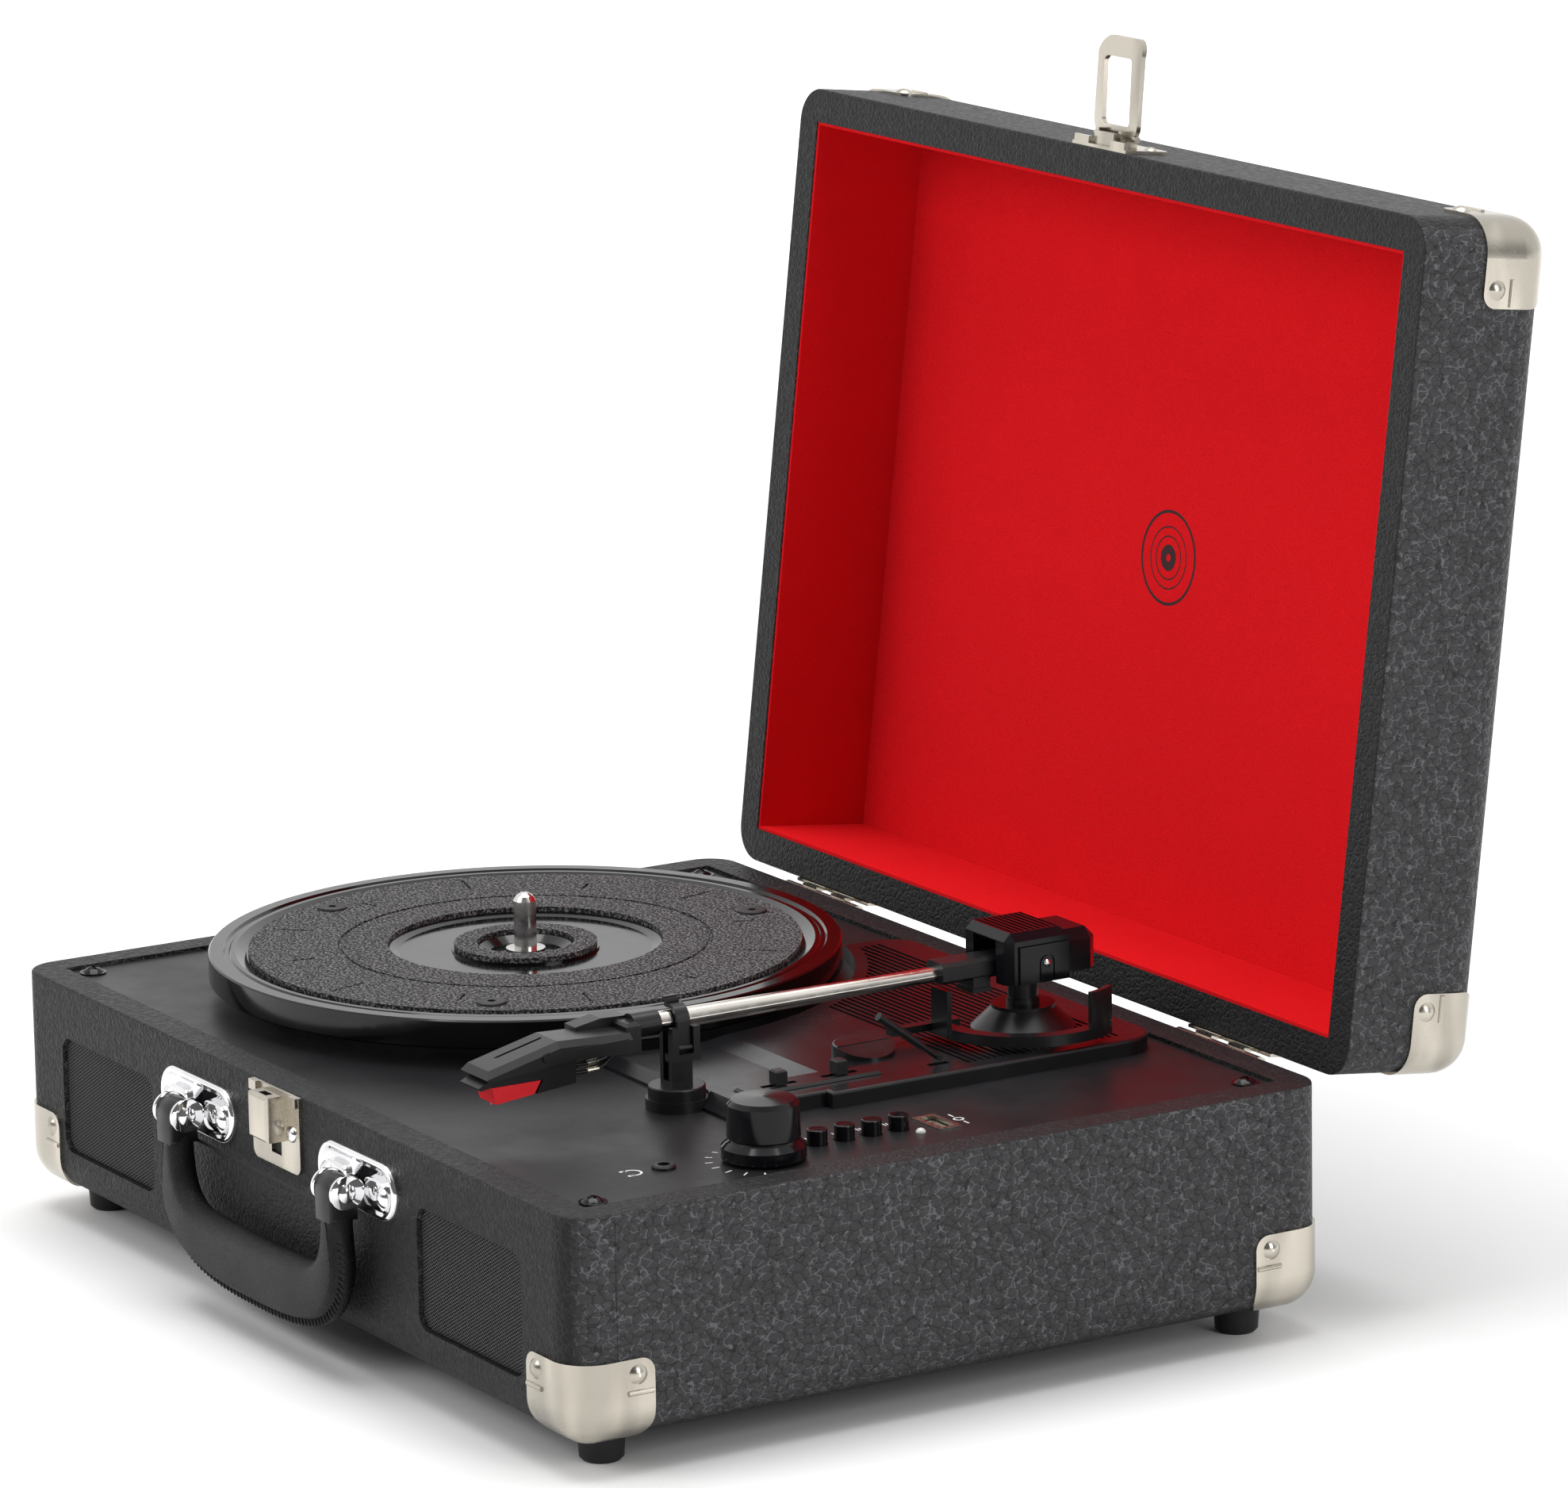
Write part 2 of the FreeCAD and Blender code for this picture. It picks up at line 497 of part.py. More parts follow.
def make_hinges():
    leaves = {"base": [], "lid": []}
    pins = []
    for name, side in SIDES:
        for part, first in (("base", 0), ("lid", 1)):
            tag = "%s_leaf_%s" % (part, name)
            low = HINGE_Z + " - leaf_tall" if part == "base" else HINGE_Z
            tall = "leaf_tall" if part == "base" else "leaf_tall + hinge_drop"
            sheet_metal = block(tag + "_plate", ("hinge_w", "leaf_t", tall),
                                ("%d*hinge_x - hinge_w/2" % side, BACK, low))
            if part == "lid":
                gap = block(tag + "_gap", ("hinge_w + 2", "leaf_t + 2", "hinge_drop + lid_gap - 0.1"),
                            ("%d*hinge_x - hinge_w/2 - 1" % side, "case_back - 1", HINGE_Z + " - 0.1"))
                sheet_metal = cut(tag + "_trimmed", sheet_metal, gap)
                rise = [block("%s_rise_%d" % (tag, i),
                              ("hinge_w/knuckles - knuckle_gap", "leaf_t", "hinge_drop + 1"),
                              ("%d*hinge_x - hinge_w/2 + %d*hinge_w/knuckles + knuckle_gap/2"
                               % (side, i), "case_back + 0.15", HINGE_Z))
                        for i in range(1, int(value("knuckles")), 2)]
            else:
                rise = []
            joined = fuse(tag + "_whole", sheet_metal, *rise, *hinge_knuckles(tag, side, first, part))
            bore = rod(tag + "_bore", "hinge_pin_r + 0.05", "hinge_w + 2",
                       ("%d*hinge_x - hinge_w/2 - 1" % side, HINGE_Y, HINGE_Z), "x")
            slots = []
            for i in range(1 - first, int(value("knuckles")), 2):
                slots.append(block("%s_slot_%d" % (tag, i),
                                   ("hinge_w/knuckles + knuckle_gap", "5", "barrel_r + 0.4"),
                                   ("%d*hinge_x - hinge_w/2 + %d*hinge_w/knuckles - knuckle_gap/2"
                                    % (side, i), "case_back - 0.5",
                                    HINGE_Z + (" - barrel_r - 0.2" if part == "base" else " - 0.1"))))
            screws = [rod("%s_screw_hole_%d" % (tag, i), "1.5", "leaf_t + 2",
                          ("%d*hinge_x + %d*hinge_w/3.2" % (side, i), "case_back - 1",
                           HINGE_Z + (" - leaf_tall*0.6" if part == "base" else
                                      " + hinge_drop + leaf_tall*0.55")), "y") for i in (-1, 1)]
            leaves[part].append(cut(tag, joined, bore, *slots, *screws))
        pins.append(rod("hinge_pin_" + name, "hinge_pin_r", "hinge_w",
                        ("%d*hinge_x - hinge_w/2" % side, HINGE_Y, HINGE_Z), "x"))
    label(group("hinge_leaves_base", *leaves["base"]), "hinge_leaves_base")
    label(open_up(group("hinge_leaves_lid", *leaves["lid"])), "hinge_leaves_lid")
    label(group("hinge_pins", *pins), "hinge_pins")


def make_catch():
    """The base half of the latch: a plate with a folded box that hooks the loop."""
    plate_ = block("catch_plate", ("catch_w", "catch_t", "catch_tall"),
                   ("-catch_w/2", "case_front - catch_t", RIM + " - catch_tall - 0.4"))
    plate_ = soften("catch_plate_round", plate_, "3",
                    lambda e: runs_along("y")(e) and middle(e).z < value(RIM) - 10)
    box = block("hook_box", ("hook_w", "hook_deep", "hook_tall"),
                ("-hook_w/2", "case_front - catch_t - hook_deep", RIM + " - hook_tall - 1.4"))
    box = soften("hook_round", box, "1.2", lambda e: middle(e).y < value(FRONT) - 5)
    inside = block("hook_inside", ("hook_w - 2*hook_wall", "hook_deep - hook_wall", "hook_tall"),
                   ("-hook_w/2 + hook_wall", "case_front - catch_t - hook_deep + hook_wall",
                    RIM + " - hook_tall - 1.4 - hook_wall"))
    slot = block("hook_slot", ("5.0", "2.4", "4"),
                 ("-2.5", "case_front - catch_t - 4.4", RIM + " - 3"))
    notch = block("catch_notch", ("6.4", "catch_t + 2", "4.4"),
                  ("-3.2", "case_front - catch_t - 1", RIM + " - catch_tall + 3.4"))
    studs = [dome("catch_rivet_%d" % s, "2.3", "1.0",
                  ("%d*9.2" % s, "case_front - catch_t", RIM + " - 12.4"), "-y") for s in (-1, 1)]
    lips = [block("catch_lip_%d" % s, ("4.4", "1.2", "3.0"),
                  ("%d*12.6 - 2.2" % s, "case_front - catch_t - 1.2", RIM + " - 3.4"))
            for s in (-1, 1)]
    whole = fuse("catch_whole", plate_, cut("hook_shell", box, inside, slot), *studs, *lips)
    label(cut("latch_catch", whole, notch), "latch_catch")


def make_latch():
    """The lid half: a plate with two folded cheeks, and the loop that swings on a pin."""
    pin_y = "case_front - latch_out"
    pin_z = LID_LOW + " + latch_up"
    foot = block("latch_plate_foot", ("catch_w", "strap_t", "17"),
                 ("-catch_w/2", "case_front - strap_t", LID_LOW + " + 0.6"))
    foot = soften("latch_plate_round", foot, "3",
                  lambda e: runs_along("y")(e) and middle(e).z > value(RIM) + 10)
    lips = [block("latch_lip_%d" % s, ("8", "2.2", "1.4"),
                  ("%d*10 - 4" % s, "case_front - strap_t - 2.2", LID_LOW + " + 0.6"))
            for s in (-1, 1)]
    cheeks = [block("latch_cheek_%d" % s, ("1.6", "latch_out + 1.0", "6.4"),
                    ("%d*6.2 - 0.8" % s, pin_y + " - 2.0", pin_z + " - 3.2")) for s in (-1, 1)]
    bridge = block("latch_bridge", ("10.8", "latch_out - 1", "2.0"),
                   ("-5.4", pin_y + " + 1.2 - 2.4", pin_z + " - 4.8"))
    tower = block("latch_tower", ("13.2", "1.4", "7.4"), ("-6.6", "case_front - strap_t - 1.2",
                                                         pin_z + " - 4.8"))
    pin = rod("latch_pin", "latch_pin_r", "2*loop_half - 1", ("-loop_half + 0.5", pin_y, pin_z), "x")
    screws = [dome("latch_rivet_%d" % s, "2.2", "0.9",
                   ("%d*10.6" % s, "case_front - strap_t", LID_LOW + " + 13"), "-y") for s in (-1, 1)]
    label(open_up(fuse("latch_plate", foot, *lips, *cheeks, bridge, tower, pin, *screws)),
          "latch_plate")
    sheet_ = block("loop_sheet", ("2*loop_half", "loop_len", "loop_t"),
                   ("-loop_half", pin_y + " - loop_len", pin_z + " - loop_t/2"))
    sheet_ = soften("loop_round", sheet_, "6",
                    lambda e: runs_along("z")(e) and middle(e).y < value(pin_y + " - 5"))
    window = block("loop_window", ("2*loop_half - 2*loop_bar", "window_far", "loop_t + 2"),
                   ("-loop_half + loop_bar", pin_y + " - window_far", pin_z + " - loop_t/2 - 1"))
    window = soften("loop_window_round", window, "2",
                    lambda e: runs_along("z")(e) and middle(e).y < value(pin_y + " - 5"))
    eyes = [rod("loop_eye_%d" % s, "2.3", "loop_bar - 0.6",
                ("%d*(loop_half - loop_bar/2) - loop_bar/2 + 0.3" % s, pin_y, pin_z), "x")
            for s in (-1, 1)]
    bore = rod("loop_bore", "latch_pin_r + 0.08", "2*loop_half + 2", ("-loop_half - 1", pin_y, pin_z), "x")
    relief = block("loop_relief", ("2*loop_half - 2*loop_bar", "8", "8"),
                   ("-loop_half + loop_bar", pin_y + " - 4", pin_z + " - 4"))
    curl = rod("loop_curl", "loop_t", "2*loop_half - 10", ("-loop_half + 5", pin_y + " - loop_len + 1.4",
                                                       pin_z + " + 0.4"), "x")
    label(open_up(cut("latch_loop", fuse("loop_whole", cut("loop_frame", sheet_, window), *eyes, curl),
                      bore, relief)), "latch_loop")


# ---------------------------------------------------------------- handle

def make_handle():
    """Two chrome brackets with ears, their pins, and the padded grip that hangs between them."""
    brackets, pins, screws = [], [], []
    for name, side in SIDES:
        x = "%d*bracket_x" % side
        flat = doc.addObject("Part::Cylinder", "bracket_disc_" + name)
        bind(flat, Radius="bracket_tall/2", Height="bracket_t")
        flat.Placement = FreeCAD.Placement(V(), FreeCAD.Rotation(AXIS["x"], 90))
        put(flat, (x + " - (bracket_w - bracket_tall)/2", FRONT, "bracket_z"))
        far = rod("bracket_far_" + name, "bracket_tall/2", "bracket_t",
                  (x + " + (bracket_w - bracket_tall)/2", "case_front - bracket_t", "bracket_z"), "y")
        bar = block("bracket_bar_" + name, ("bracket_w - bracket_tall", "bracket_t", "bracket_tall"),
                    (x + " - (bracket_w - bracket_tall)/2", "case_front - bracket_t",
                     "bracket_z - bracket_tall/2"))
        shell = soften("bracket_soft_" + name, fuse("bracket_plate_" + name, flat, far, bar), "1.4",
                       lambda e: middle(e).y < value(FRONT) - value("bracket_t") + 0.01
                       and abs(e.BoundBox.YLength) < 0.01)
        ears = []
        for part, where in (("in", -1), ("out", 1)):
            ear_x = "%s + %d*(handle_leg_w/2 + 0.4 + ear_t/2) - ear_t/2" % (x, where)
            ears.append(rod("ear_round_%s_%s" % (name, part), "ear_r", "ear_t",
                            (ear_x, "case_front - handle_out", "handle_pin_z"), "x"))
            ears.append(block("ear_web_%s_%s" % (name, part),
                              ("ear_t", "handle_out - bracket_t + 0.5", "2*ear_r - 1"),
                              (ear_x, "case_front - handle_out", "handle_pin_z - ear_r + 0.5")))
        bore = rod("ear_bore_" + name, "handle_pin_r", "handle_leg_w + 2*ear_t + 4",
                   (x + " - handle_leg_w/2 - ear_t - 2", "case_front - handle_out", "handle_pin_z"), "x")
        brackets.append(cut("handle_bracket_" + name, fuse("bracket_whole_" + name, shell, *ears), bore))
        core = rod("handle_pin_core_" + name, "handle_pin_r", "handle_leg_w + 2*ear_t + 0.8",
                   (x + " - handle_leg_w/2 - ear_t - 0.4", "case_front - handle_out", "handle_pin_z"), "x")
        head = dome("handle_pin_head_" + name, "2.8", "1.2",
                    (x + " + handle_leg_w/2 + ear_t + 0.4", "case_front - handle_out", "handle_pin_z"), "x")
        tail = dome("handle_pin_tail_" + name, "2.8", "1.2",
                    (x + " - handle_leg_w/2 - ear_t - 0.4", "case_front - handle_out", "handle_pin_z"),
                    "-x")
        pins.append(fuse("handle_pin_" + name, core, head, tail))
        screws += [dome("bracket_screw_%s_%d" % (name, s), "3.2", "1.6",
                        (x + " + %d*17.4" % s, "case_front - bracket_t", "bracket_z - 1"), "-y")
                   for s in (-1, 1)]
    label(group("handle_brackets", *brackets), "handle_brackets")
    label(group("handle_pins", *pins), "handle_pins")
    label(group("bracket_screws", *screws), "bracket_screws")
    make_grip()


def make_grip():
    """The grip: a D-shaped outline in the XZ plane, rounded all round."""
    top = "handle_pin_z + handle_t/2 + 0.6"
    tall = top + " - handle_low"
    wide = "2*bracket_x + handle_leg_w"
    slab_ = block("grip_slab", (wide, "handle_t", tall),
                  ("-bracket_x - handle_leg_w/2", "case_front - handle_out - handle_t/2", "handle_low"))
    slab_ = soften("grip_outer", slab_, "handle_corner",
                   lambda e: runs_along("y")(e) and middle(e).z < value("handle_low + 1"))
    inner = block("grip_inner", ("2*bracket_x - handle_leg_w", "handle_t + 2", tall),
                  ("-bracket_x + handle_leg_w/2", "case_front - handle_out - handle_t/2 - 1",
                   "handle_low + handle_grip_tall"))
    inner = soften("grip_inner_round", inner, "handle_inner_corner",
                   lambda e: runs_along("y")(e) and middle(e).z < value("handle_low + handle_grip_tall + 1"))
    whole = cut("grip_blank", slab_, inner)
    whole = soften("grip_crowned", whole, "handle_t/2 - 1.2",
                   lambda e: runs_along("x")(e) and abs(middle(e).z - value("handle_low")) < 1
                   and abs(middle(e).y - value("case_front - handle_out")) > 1)
    whole = soften("grip_ends", whole, "handle_t/2 - 0.2",
                   lambda e: runs_along("x")(e) and middle(e).z > value(top) - 0.1)
    bore = rod("grip_bore", "handle_pin_r + 0.08", "2*bracket_x + handle_leg_w + 2",
               ("-bracket_x - handle_leg_w/2 - 1", "case_front - handle_out", "handle_pin_z"), "x")
    label(cut("handle_grip", whole, bore), "handle_grip")


# ---------------------------------------------------------------- speakers and sockets

def make_speakers():
    grilles = [speaker_window("grille_" + n, s, "-0.15", "grille_t", "case_front + grille_inset")
               for n, s in SIDES]
    label(group("speaker_grilles", *grilles), "speaker_grilles")
    drivers = []
    for name, side in SIDES:
        x = "%d*grille_x" % side
        frame = block("driver_frame_" + name, ("2*cone_r + 6", "2", "2*cone_r - 2"),
                      (x + " - cone_r - 3", "case_front + wall_t", "grille_z - cone_r + 1"))
        basket = cone("driver_basket_" + name, "cone_r - 3", "magnet_r", "14",
                      (x, "case_front + wall_t + 2", "grille_z"), "y")
        magnet = rod("driver_magnet_" + name, "magnet_r + 3", "magnet_deep",
                     (x, "case_front + wall_t + 16", "grille_z"), "y")
        dish = cone("driver_dish_" + name, "cone_r - 5", "6", "9",
                    (x, "case_front + wall_t", "grille_z"), "y")
        drivers.append(cut("speaker_driver_" + name,
                           fuse("driver_whole_" + name, frame, basket, magnet), dish))
    label(group("speaker_drivers", *drivers), "speaker_drivers")


def make_sockets():
    """The power inlet and the two line-out sockets in the back wall."""
    def socket(name, x, bore_r, nut_r):
        y = "case_back - wall_t - 4"
        barrel = rod(name + "_barrel", "socket_r", "wall_t + 4", (x, y, "socket_z"), "y")
        flange = rod(name + "_flange", nut_r, "1.2", (x, BACK, "socket_z"), "y")
        box = block(name + "_box", ("11", "9", "11"), (x + " - 5.5", y + " - 9", "socket_z - 5.5"))
        bore = rod(name + "_bore", bore_r, "wall_t + 2", (x, "case_back - wall_t", "socket_z"), "y")
        return cut(name, fuse(name + "_whole", barrel, flange, box), bore)
    inlet = socket("inlet", "inlet_x", "inlet_bore_r", "5.6")
    pin = rod("inlet_pin", "inlet_pin_r", "wall_t - 1",
              ("inlet_x", "case_back - wall_t - 0.5", "socket_z"), "y")
    label(fuse("power_inlet", inlet, pin), "power_inlet")
    label(group("line_out_sockets", socket("line_out_a", "line_x", "socket_bore_r", "5.2"),
                socket("line_out_b", "line_x - line_pitch", "socket_bore_r", "5.2")),
          "line_out_sockets")


# ---------------------------------------------------------------- deck

def make_deck():
    board = block("deck_board", ("case_w - 2*wall_t - 2*deck_fit", CASE_D + " - 2*wall_t - 2*deck_fit",
                                 "deck_t"),
                  ("-case_w/2 + wall_t + deck_fit", "case_front + wall_t + deck_fit", DECK + " - deck_t"))
    low = DECK + " - deck_t - 1"
    holes = [rod("deck_bush_hole", "bush_r + 0.02", "deck_t + 2", ("platter_x", "platter_y", low)),
             rod("deck_pivot_hole", "3.05", "deck_t + 2", ("pivot_x", "pivot_y", low)),
             rod("deck_pulley_hole", "pulley_r + 3", "deck_t + 2", pulley_spot() + (low,)),
             rod("deck_knob_hole", "3.4", "deck_t + 2", ("knob_x", "knob_y", low)),
             rod("deck_jack_hole", "jack_r - 0.5", "deck_t + 2", ("jack_x", "jack_y", low)),
             rod("deck_lamp_hole", "lamp_r + 0.05", "deck_t + 2", ("lamp_x", "lamp_y", low)),
             slab("deck_usb_hole", ("usb_w + 0.2", "usb_d + 0.2", "deck_t + 2"), ("usb_x", "usb_y"), low)]
    holes += [rod("deck_button_hole_%d" % i, "button_r + button_fit", "deck_t + 2",
                  ("button_x", "button_y + %d*button_pitch" % i, low)) for i in range(4)]
    holes += [rod("deck_screw_hole_%d" % i, "screw_core_r + 0.1", "deck_t + 2", spot + (low,))
              for i, spot in enumerate(corner_spots("screw_inset"))]
    holes += [slab("deck_slot_" + n, ("slider_slot_w + 1", "slot_len", "deck_t + 2"), ("slider_x", y), low)
              for n, y in (("speed", "speed_y"), ("stop", "stop_y"))]
    label(cut("deck_plate", board, *holes), "deck_plate")
    washer = rod("deck_washer", "screw_head_r + 0.8", "0.5",
                 ("case_w/2 - screw_inset", "case_front + screw_inset", DECK))
    head = dome("deck_screw_head", "screw_head_r", "screw_rise",
                ("case_w/2 - screw_inset", "case_front + screw_inset", DECK + " + 0.5"))
    slots = [slab("deck_screw_cross_%d" % i, size, ("case_w/2 - screw_inset", "case_front + screw_inset"),
                  DECK + " + 1.1")
             for i, size in enumerate((("3.6", "0.8", "3"), ("0.8", "3.6", "3")))]
    core = rod("deck_screw_core", "screw_core_r - 0.05", "screw_len - 0.5",
               ("case_w/2 - screw_inset", "case_front + screw_inset", DECK + " - screw_len + 0.5"))
    label(four_corners("deck_screws", cut("deck_screw", fuse("deck_screw_whole", washer, head, core),
                                          *slots)),
          "deck_screws")


def pulley_spot():
    """The motor shaft's place: out from the platter's centre towards the front left corner."""
    return ("platter_x - pulley_orbit*0.7071", "platter_y - pulley_orbit*0.7071")


def make_platter():
    top = "platter_top"
    low = "platter_top - platter_skirt"
    under = top + " - mat_t - 2.4"
    section = [("shaft_r", under + " - 2.2"), ("hub_r", under + " - 2.2"), ("hub_r", under),
               ("ring_r - ring_t", under), ("ring_r - ring_t", low + " + 0.2"), ("ring_r", low + " + 0.2"),
               ("ring_r", under), ("platter_r - skirt_t", under), ("platter_r - skirt_t", low),
               ("platter_r - 0.6", low), ("platter_r", low + " + 0.6"), ("platter_r", top + " - 0.5"),
               ("platter_r - 0.5", top), ("platter_r - 4.6", top), ("platter_r - 5.2", top + " - 0.7"),
               ("platter_r - 6.4", top + " - 0.7"), ("platter_r - 7.0", top + " - 0.2"),
               ("platter_r - 8.4", top + " - 0.2"), ("mat_r + 0.6", top + " - mat_t - 0.1"),
               ("mat_hole_r - 0.4", top + " - mat_t - 0.1"), ("mat_hole_r - 3.4", top + " - mat_t - 1.0"),
               ("centre_mat_r + 0.8", top + " - mat_t - 1.0"),
               ("centre_mat_r + 0.8", top + " - mat_t - 0.4"),
               ("centre_hole_r", top + " - mat_t - 0.4"), ("centre_hole_r - 3", top + " - mat_t - 2.2"),
               ("shaft_r", top + " - mat_t - 2.2")]
    label(turned("platter", section, ("platter_x", "platter_y", "0")), "platter")
    ring = turned("mat_ring", [("mat_hole_r", top + " - mat_t - 0.1"), ("mat_r", top + " - mat_t - 0.1"),
                               ("mat_r", top), ("mat_groove_r + 0.7", top),
                               ("mat_groove_r + 0.7", top + " - 0.6"),
                               ("mat_groove_r - 0.7", top + " - 0.6"),
                               ("mat_groove_r - 0.7", top), ("mat_hole_r", top)],
                  ("platter_x", "platter_y", "0"))
    cuts = []
    for i in range(12):
        turn = 30.0 * i + 15.0
        length = 13.0 if i % 2 else 7.0
        slit = doc.addObject("Part::Box", "mat_slit_%d" % i)
        slit.Length, slit.Width, slit.Height = length, 1.0, 2.0
        out = value("mat_r") - length - (4.0 if i % 2 else 12.0)
        slit.Placement = FreeCAD.Placement(V(value("platter_x"), value("platter_y"), value(top) - 0.7),
                                           FreeCAD.Rotation(AXIS["z"], turn)).multiply(
            FreeCAD.Placement(V(out, -0.5, 0), FreeCAD.Rotation()))
        cuts.append(slit)
    caps, seats = [], []
    for i in range(3):
        angle = math.radians(120.0 * i + 83.0)
        x = "platter_x + cap_orbit*%.6f" % math.cos(angle)
        y = "platter_y + cap_orbit*%.6f" % math.sin(angle)
        seats.append(rod("mat_seat_%d" % i, "cap_r + 0.2", "mat_t + 2", (x, y, top + " - mat_t - 1")))
        body = rod("cap_body_%d" % i, "cap_r", "cap_tall", (x, y, top + " - mat_t - 0.1"))
        body = soften("cap_soft_%d" % i, body, "0.5", lambda e: middle(e).z > value(top) - 0.1)
        hole = rod("cap_hole_%d" % i, "cap_hole_r", "cap_tall", (x, y, top + " - mat_t + 0.9"))
        caps.append(cut("platter_cap_%d" % i, body, hole))
    disc = turned("mat_disc", [("centre_hole_r + 0.8", top + " - mat_t - 0.4"),
                               ("centre_mat_r", top + " - mat_t - 0.4"), ("centre_mat_r", top + " - 0.2"),
                               ("centre_hole_r + 0.8", top + " - 0.2")], ("platter_x", "platter_y", "0"))
    label(group("platter_mat", cut("mat_ring_cut", ring, *cuts, *seats), disc), "platter_mat")
    label(group("platter_caps", *caps), "platter_caps")
    label(turned("spindle", [("0", "spindle_low"), ("shaft_r - 0.6", "spindle_low"),
                             ("shaft_r", "spindle_low + 0.6"), ("shaft_r", top + " - mat_t - 2.2"),
                             ("spindle_r + 2.6", top + " - mat_t - 2.2"),
                             ("spindle_r + 2.6", top + " - mat_t - 0.9"),
                             ("spindle_r", top + " - mat_t - 0.9"), ("spindle_r", "spindle_top - 2.4"),
                             ("spindle_r - 0.9", "spindle_top - 0.9"), ("spindle_r - 2.2", "spindle_top"),
                             ("0", "spindle_top")], ("platter_x", "platter_y", "0")), "spindle")
    label(turned("spindle_bush", [("shaft_r + shaft_fit", "spindle_low + 3"), ("bush_r", "spindle_low + 3"),
                                  ("bush_r", DECK), ("bush_flange_r", DECK),
                                  ("bush_flange_r", DECK + " + 1.4"),
                                  ("shaft_r + shaft_fit", DECK + " + 1.4")],
                 ("platter_x", "platter_y", "0")), "spindle_bush")


def make_drive():
    x, y = pulley_spot()
    level = "platter_top - platter_skirt + 0.2"
    can = rod("motor_can", "motor_r", "motor_tall", (x, y, DECK + " - deck_t - motor_tall"))
    nose = rod("motor_nose", "3.4", "deck_t", (x, y, DECK + " - deck_t"))
    shaft_way = rod("motor_way", "1.1", "motor_tall", (x, y, DECK + " - deck_t - 10"))
    label(cut("motor", fuse("motor_whole", can, nose), shaft_way), "motor")
    label(turned("motor_pulley", [("0", DECK + " - deck_t - 8"), ("1.05", DECK + " - deck_t - 8"),
                                  ("1.05", level + " - 1.4"), ("pulley_r + 1.2", level + " - 1.4"),
                                  ("pulley_r", level + " - 0.4"),
                                  ("pulley_r", level + " + belt_tall + 0.4"),
                                  ("pulley_r + 1.2", level + " + belt_tall + 0.9"),
                                  ("0", level + " + belt_tall + 0.9")],
                 (x, y, "0")), "motor_pulley")
    belt = doc.addObject("Part::Feature", "drive_belt")
    belt.Shape = belt_shape()
    belt.Placement = FreeCAD.Placement(V(value("platter_x"), value("platter_y"), value(level)),
                                       FreeCAD.Rotation(AXIS["z"], 225))
    label(belt, "drive_belt")


def belt_shape():
    """The belt round the platter's ring and the pulley, in a frame whose X axis points at the pulley."""
    reach = value("pulley_orbit")
    def loop(big, small):
        lean = math.acos((big - small) / reach)
        def spot(centre, radius, angle):
            return V(centre + radius * math.cos(angle), radius * math.sin(angle), 0)
        a, b = spot(0, big, lean), spot(0, big, -lean)
        c, d = spot(reach, small, lean), spot(reach, small, -lean)
        return Part.Wire([Part.Arc(a, spot(0, big, math.pi), b).toShape(), Part.makeLine(b, d),
                          Part.Arc(d, spot(reach, small, 0), c).toShape(), Part.makeLine(c, a)])
    big, small = value("ring_r + belt_fit"), value("pulley_r + belt_fit")
    outer = loop(big + value("belt_t"), small + value("belt_t"))
    inner = loop(big, small)
    height = V(0, 0, value("belt_tall"))
    return Part.Face(outer).extrude(height).cut(Part.Face(inner).extrude(height))


# ---------------------------------------------------------------- console

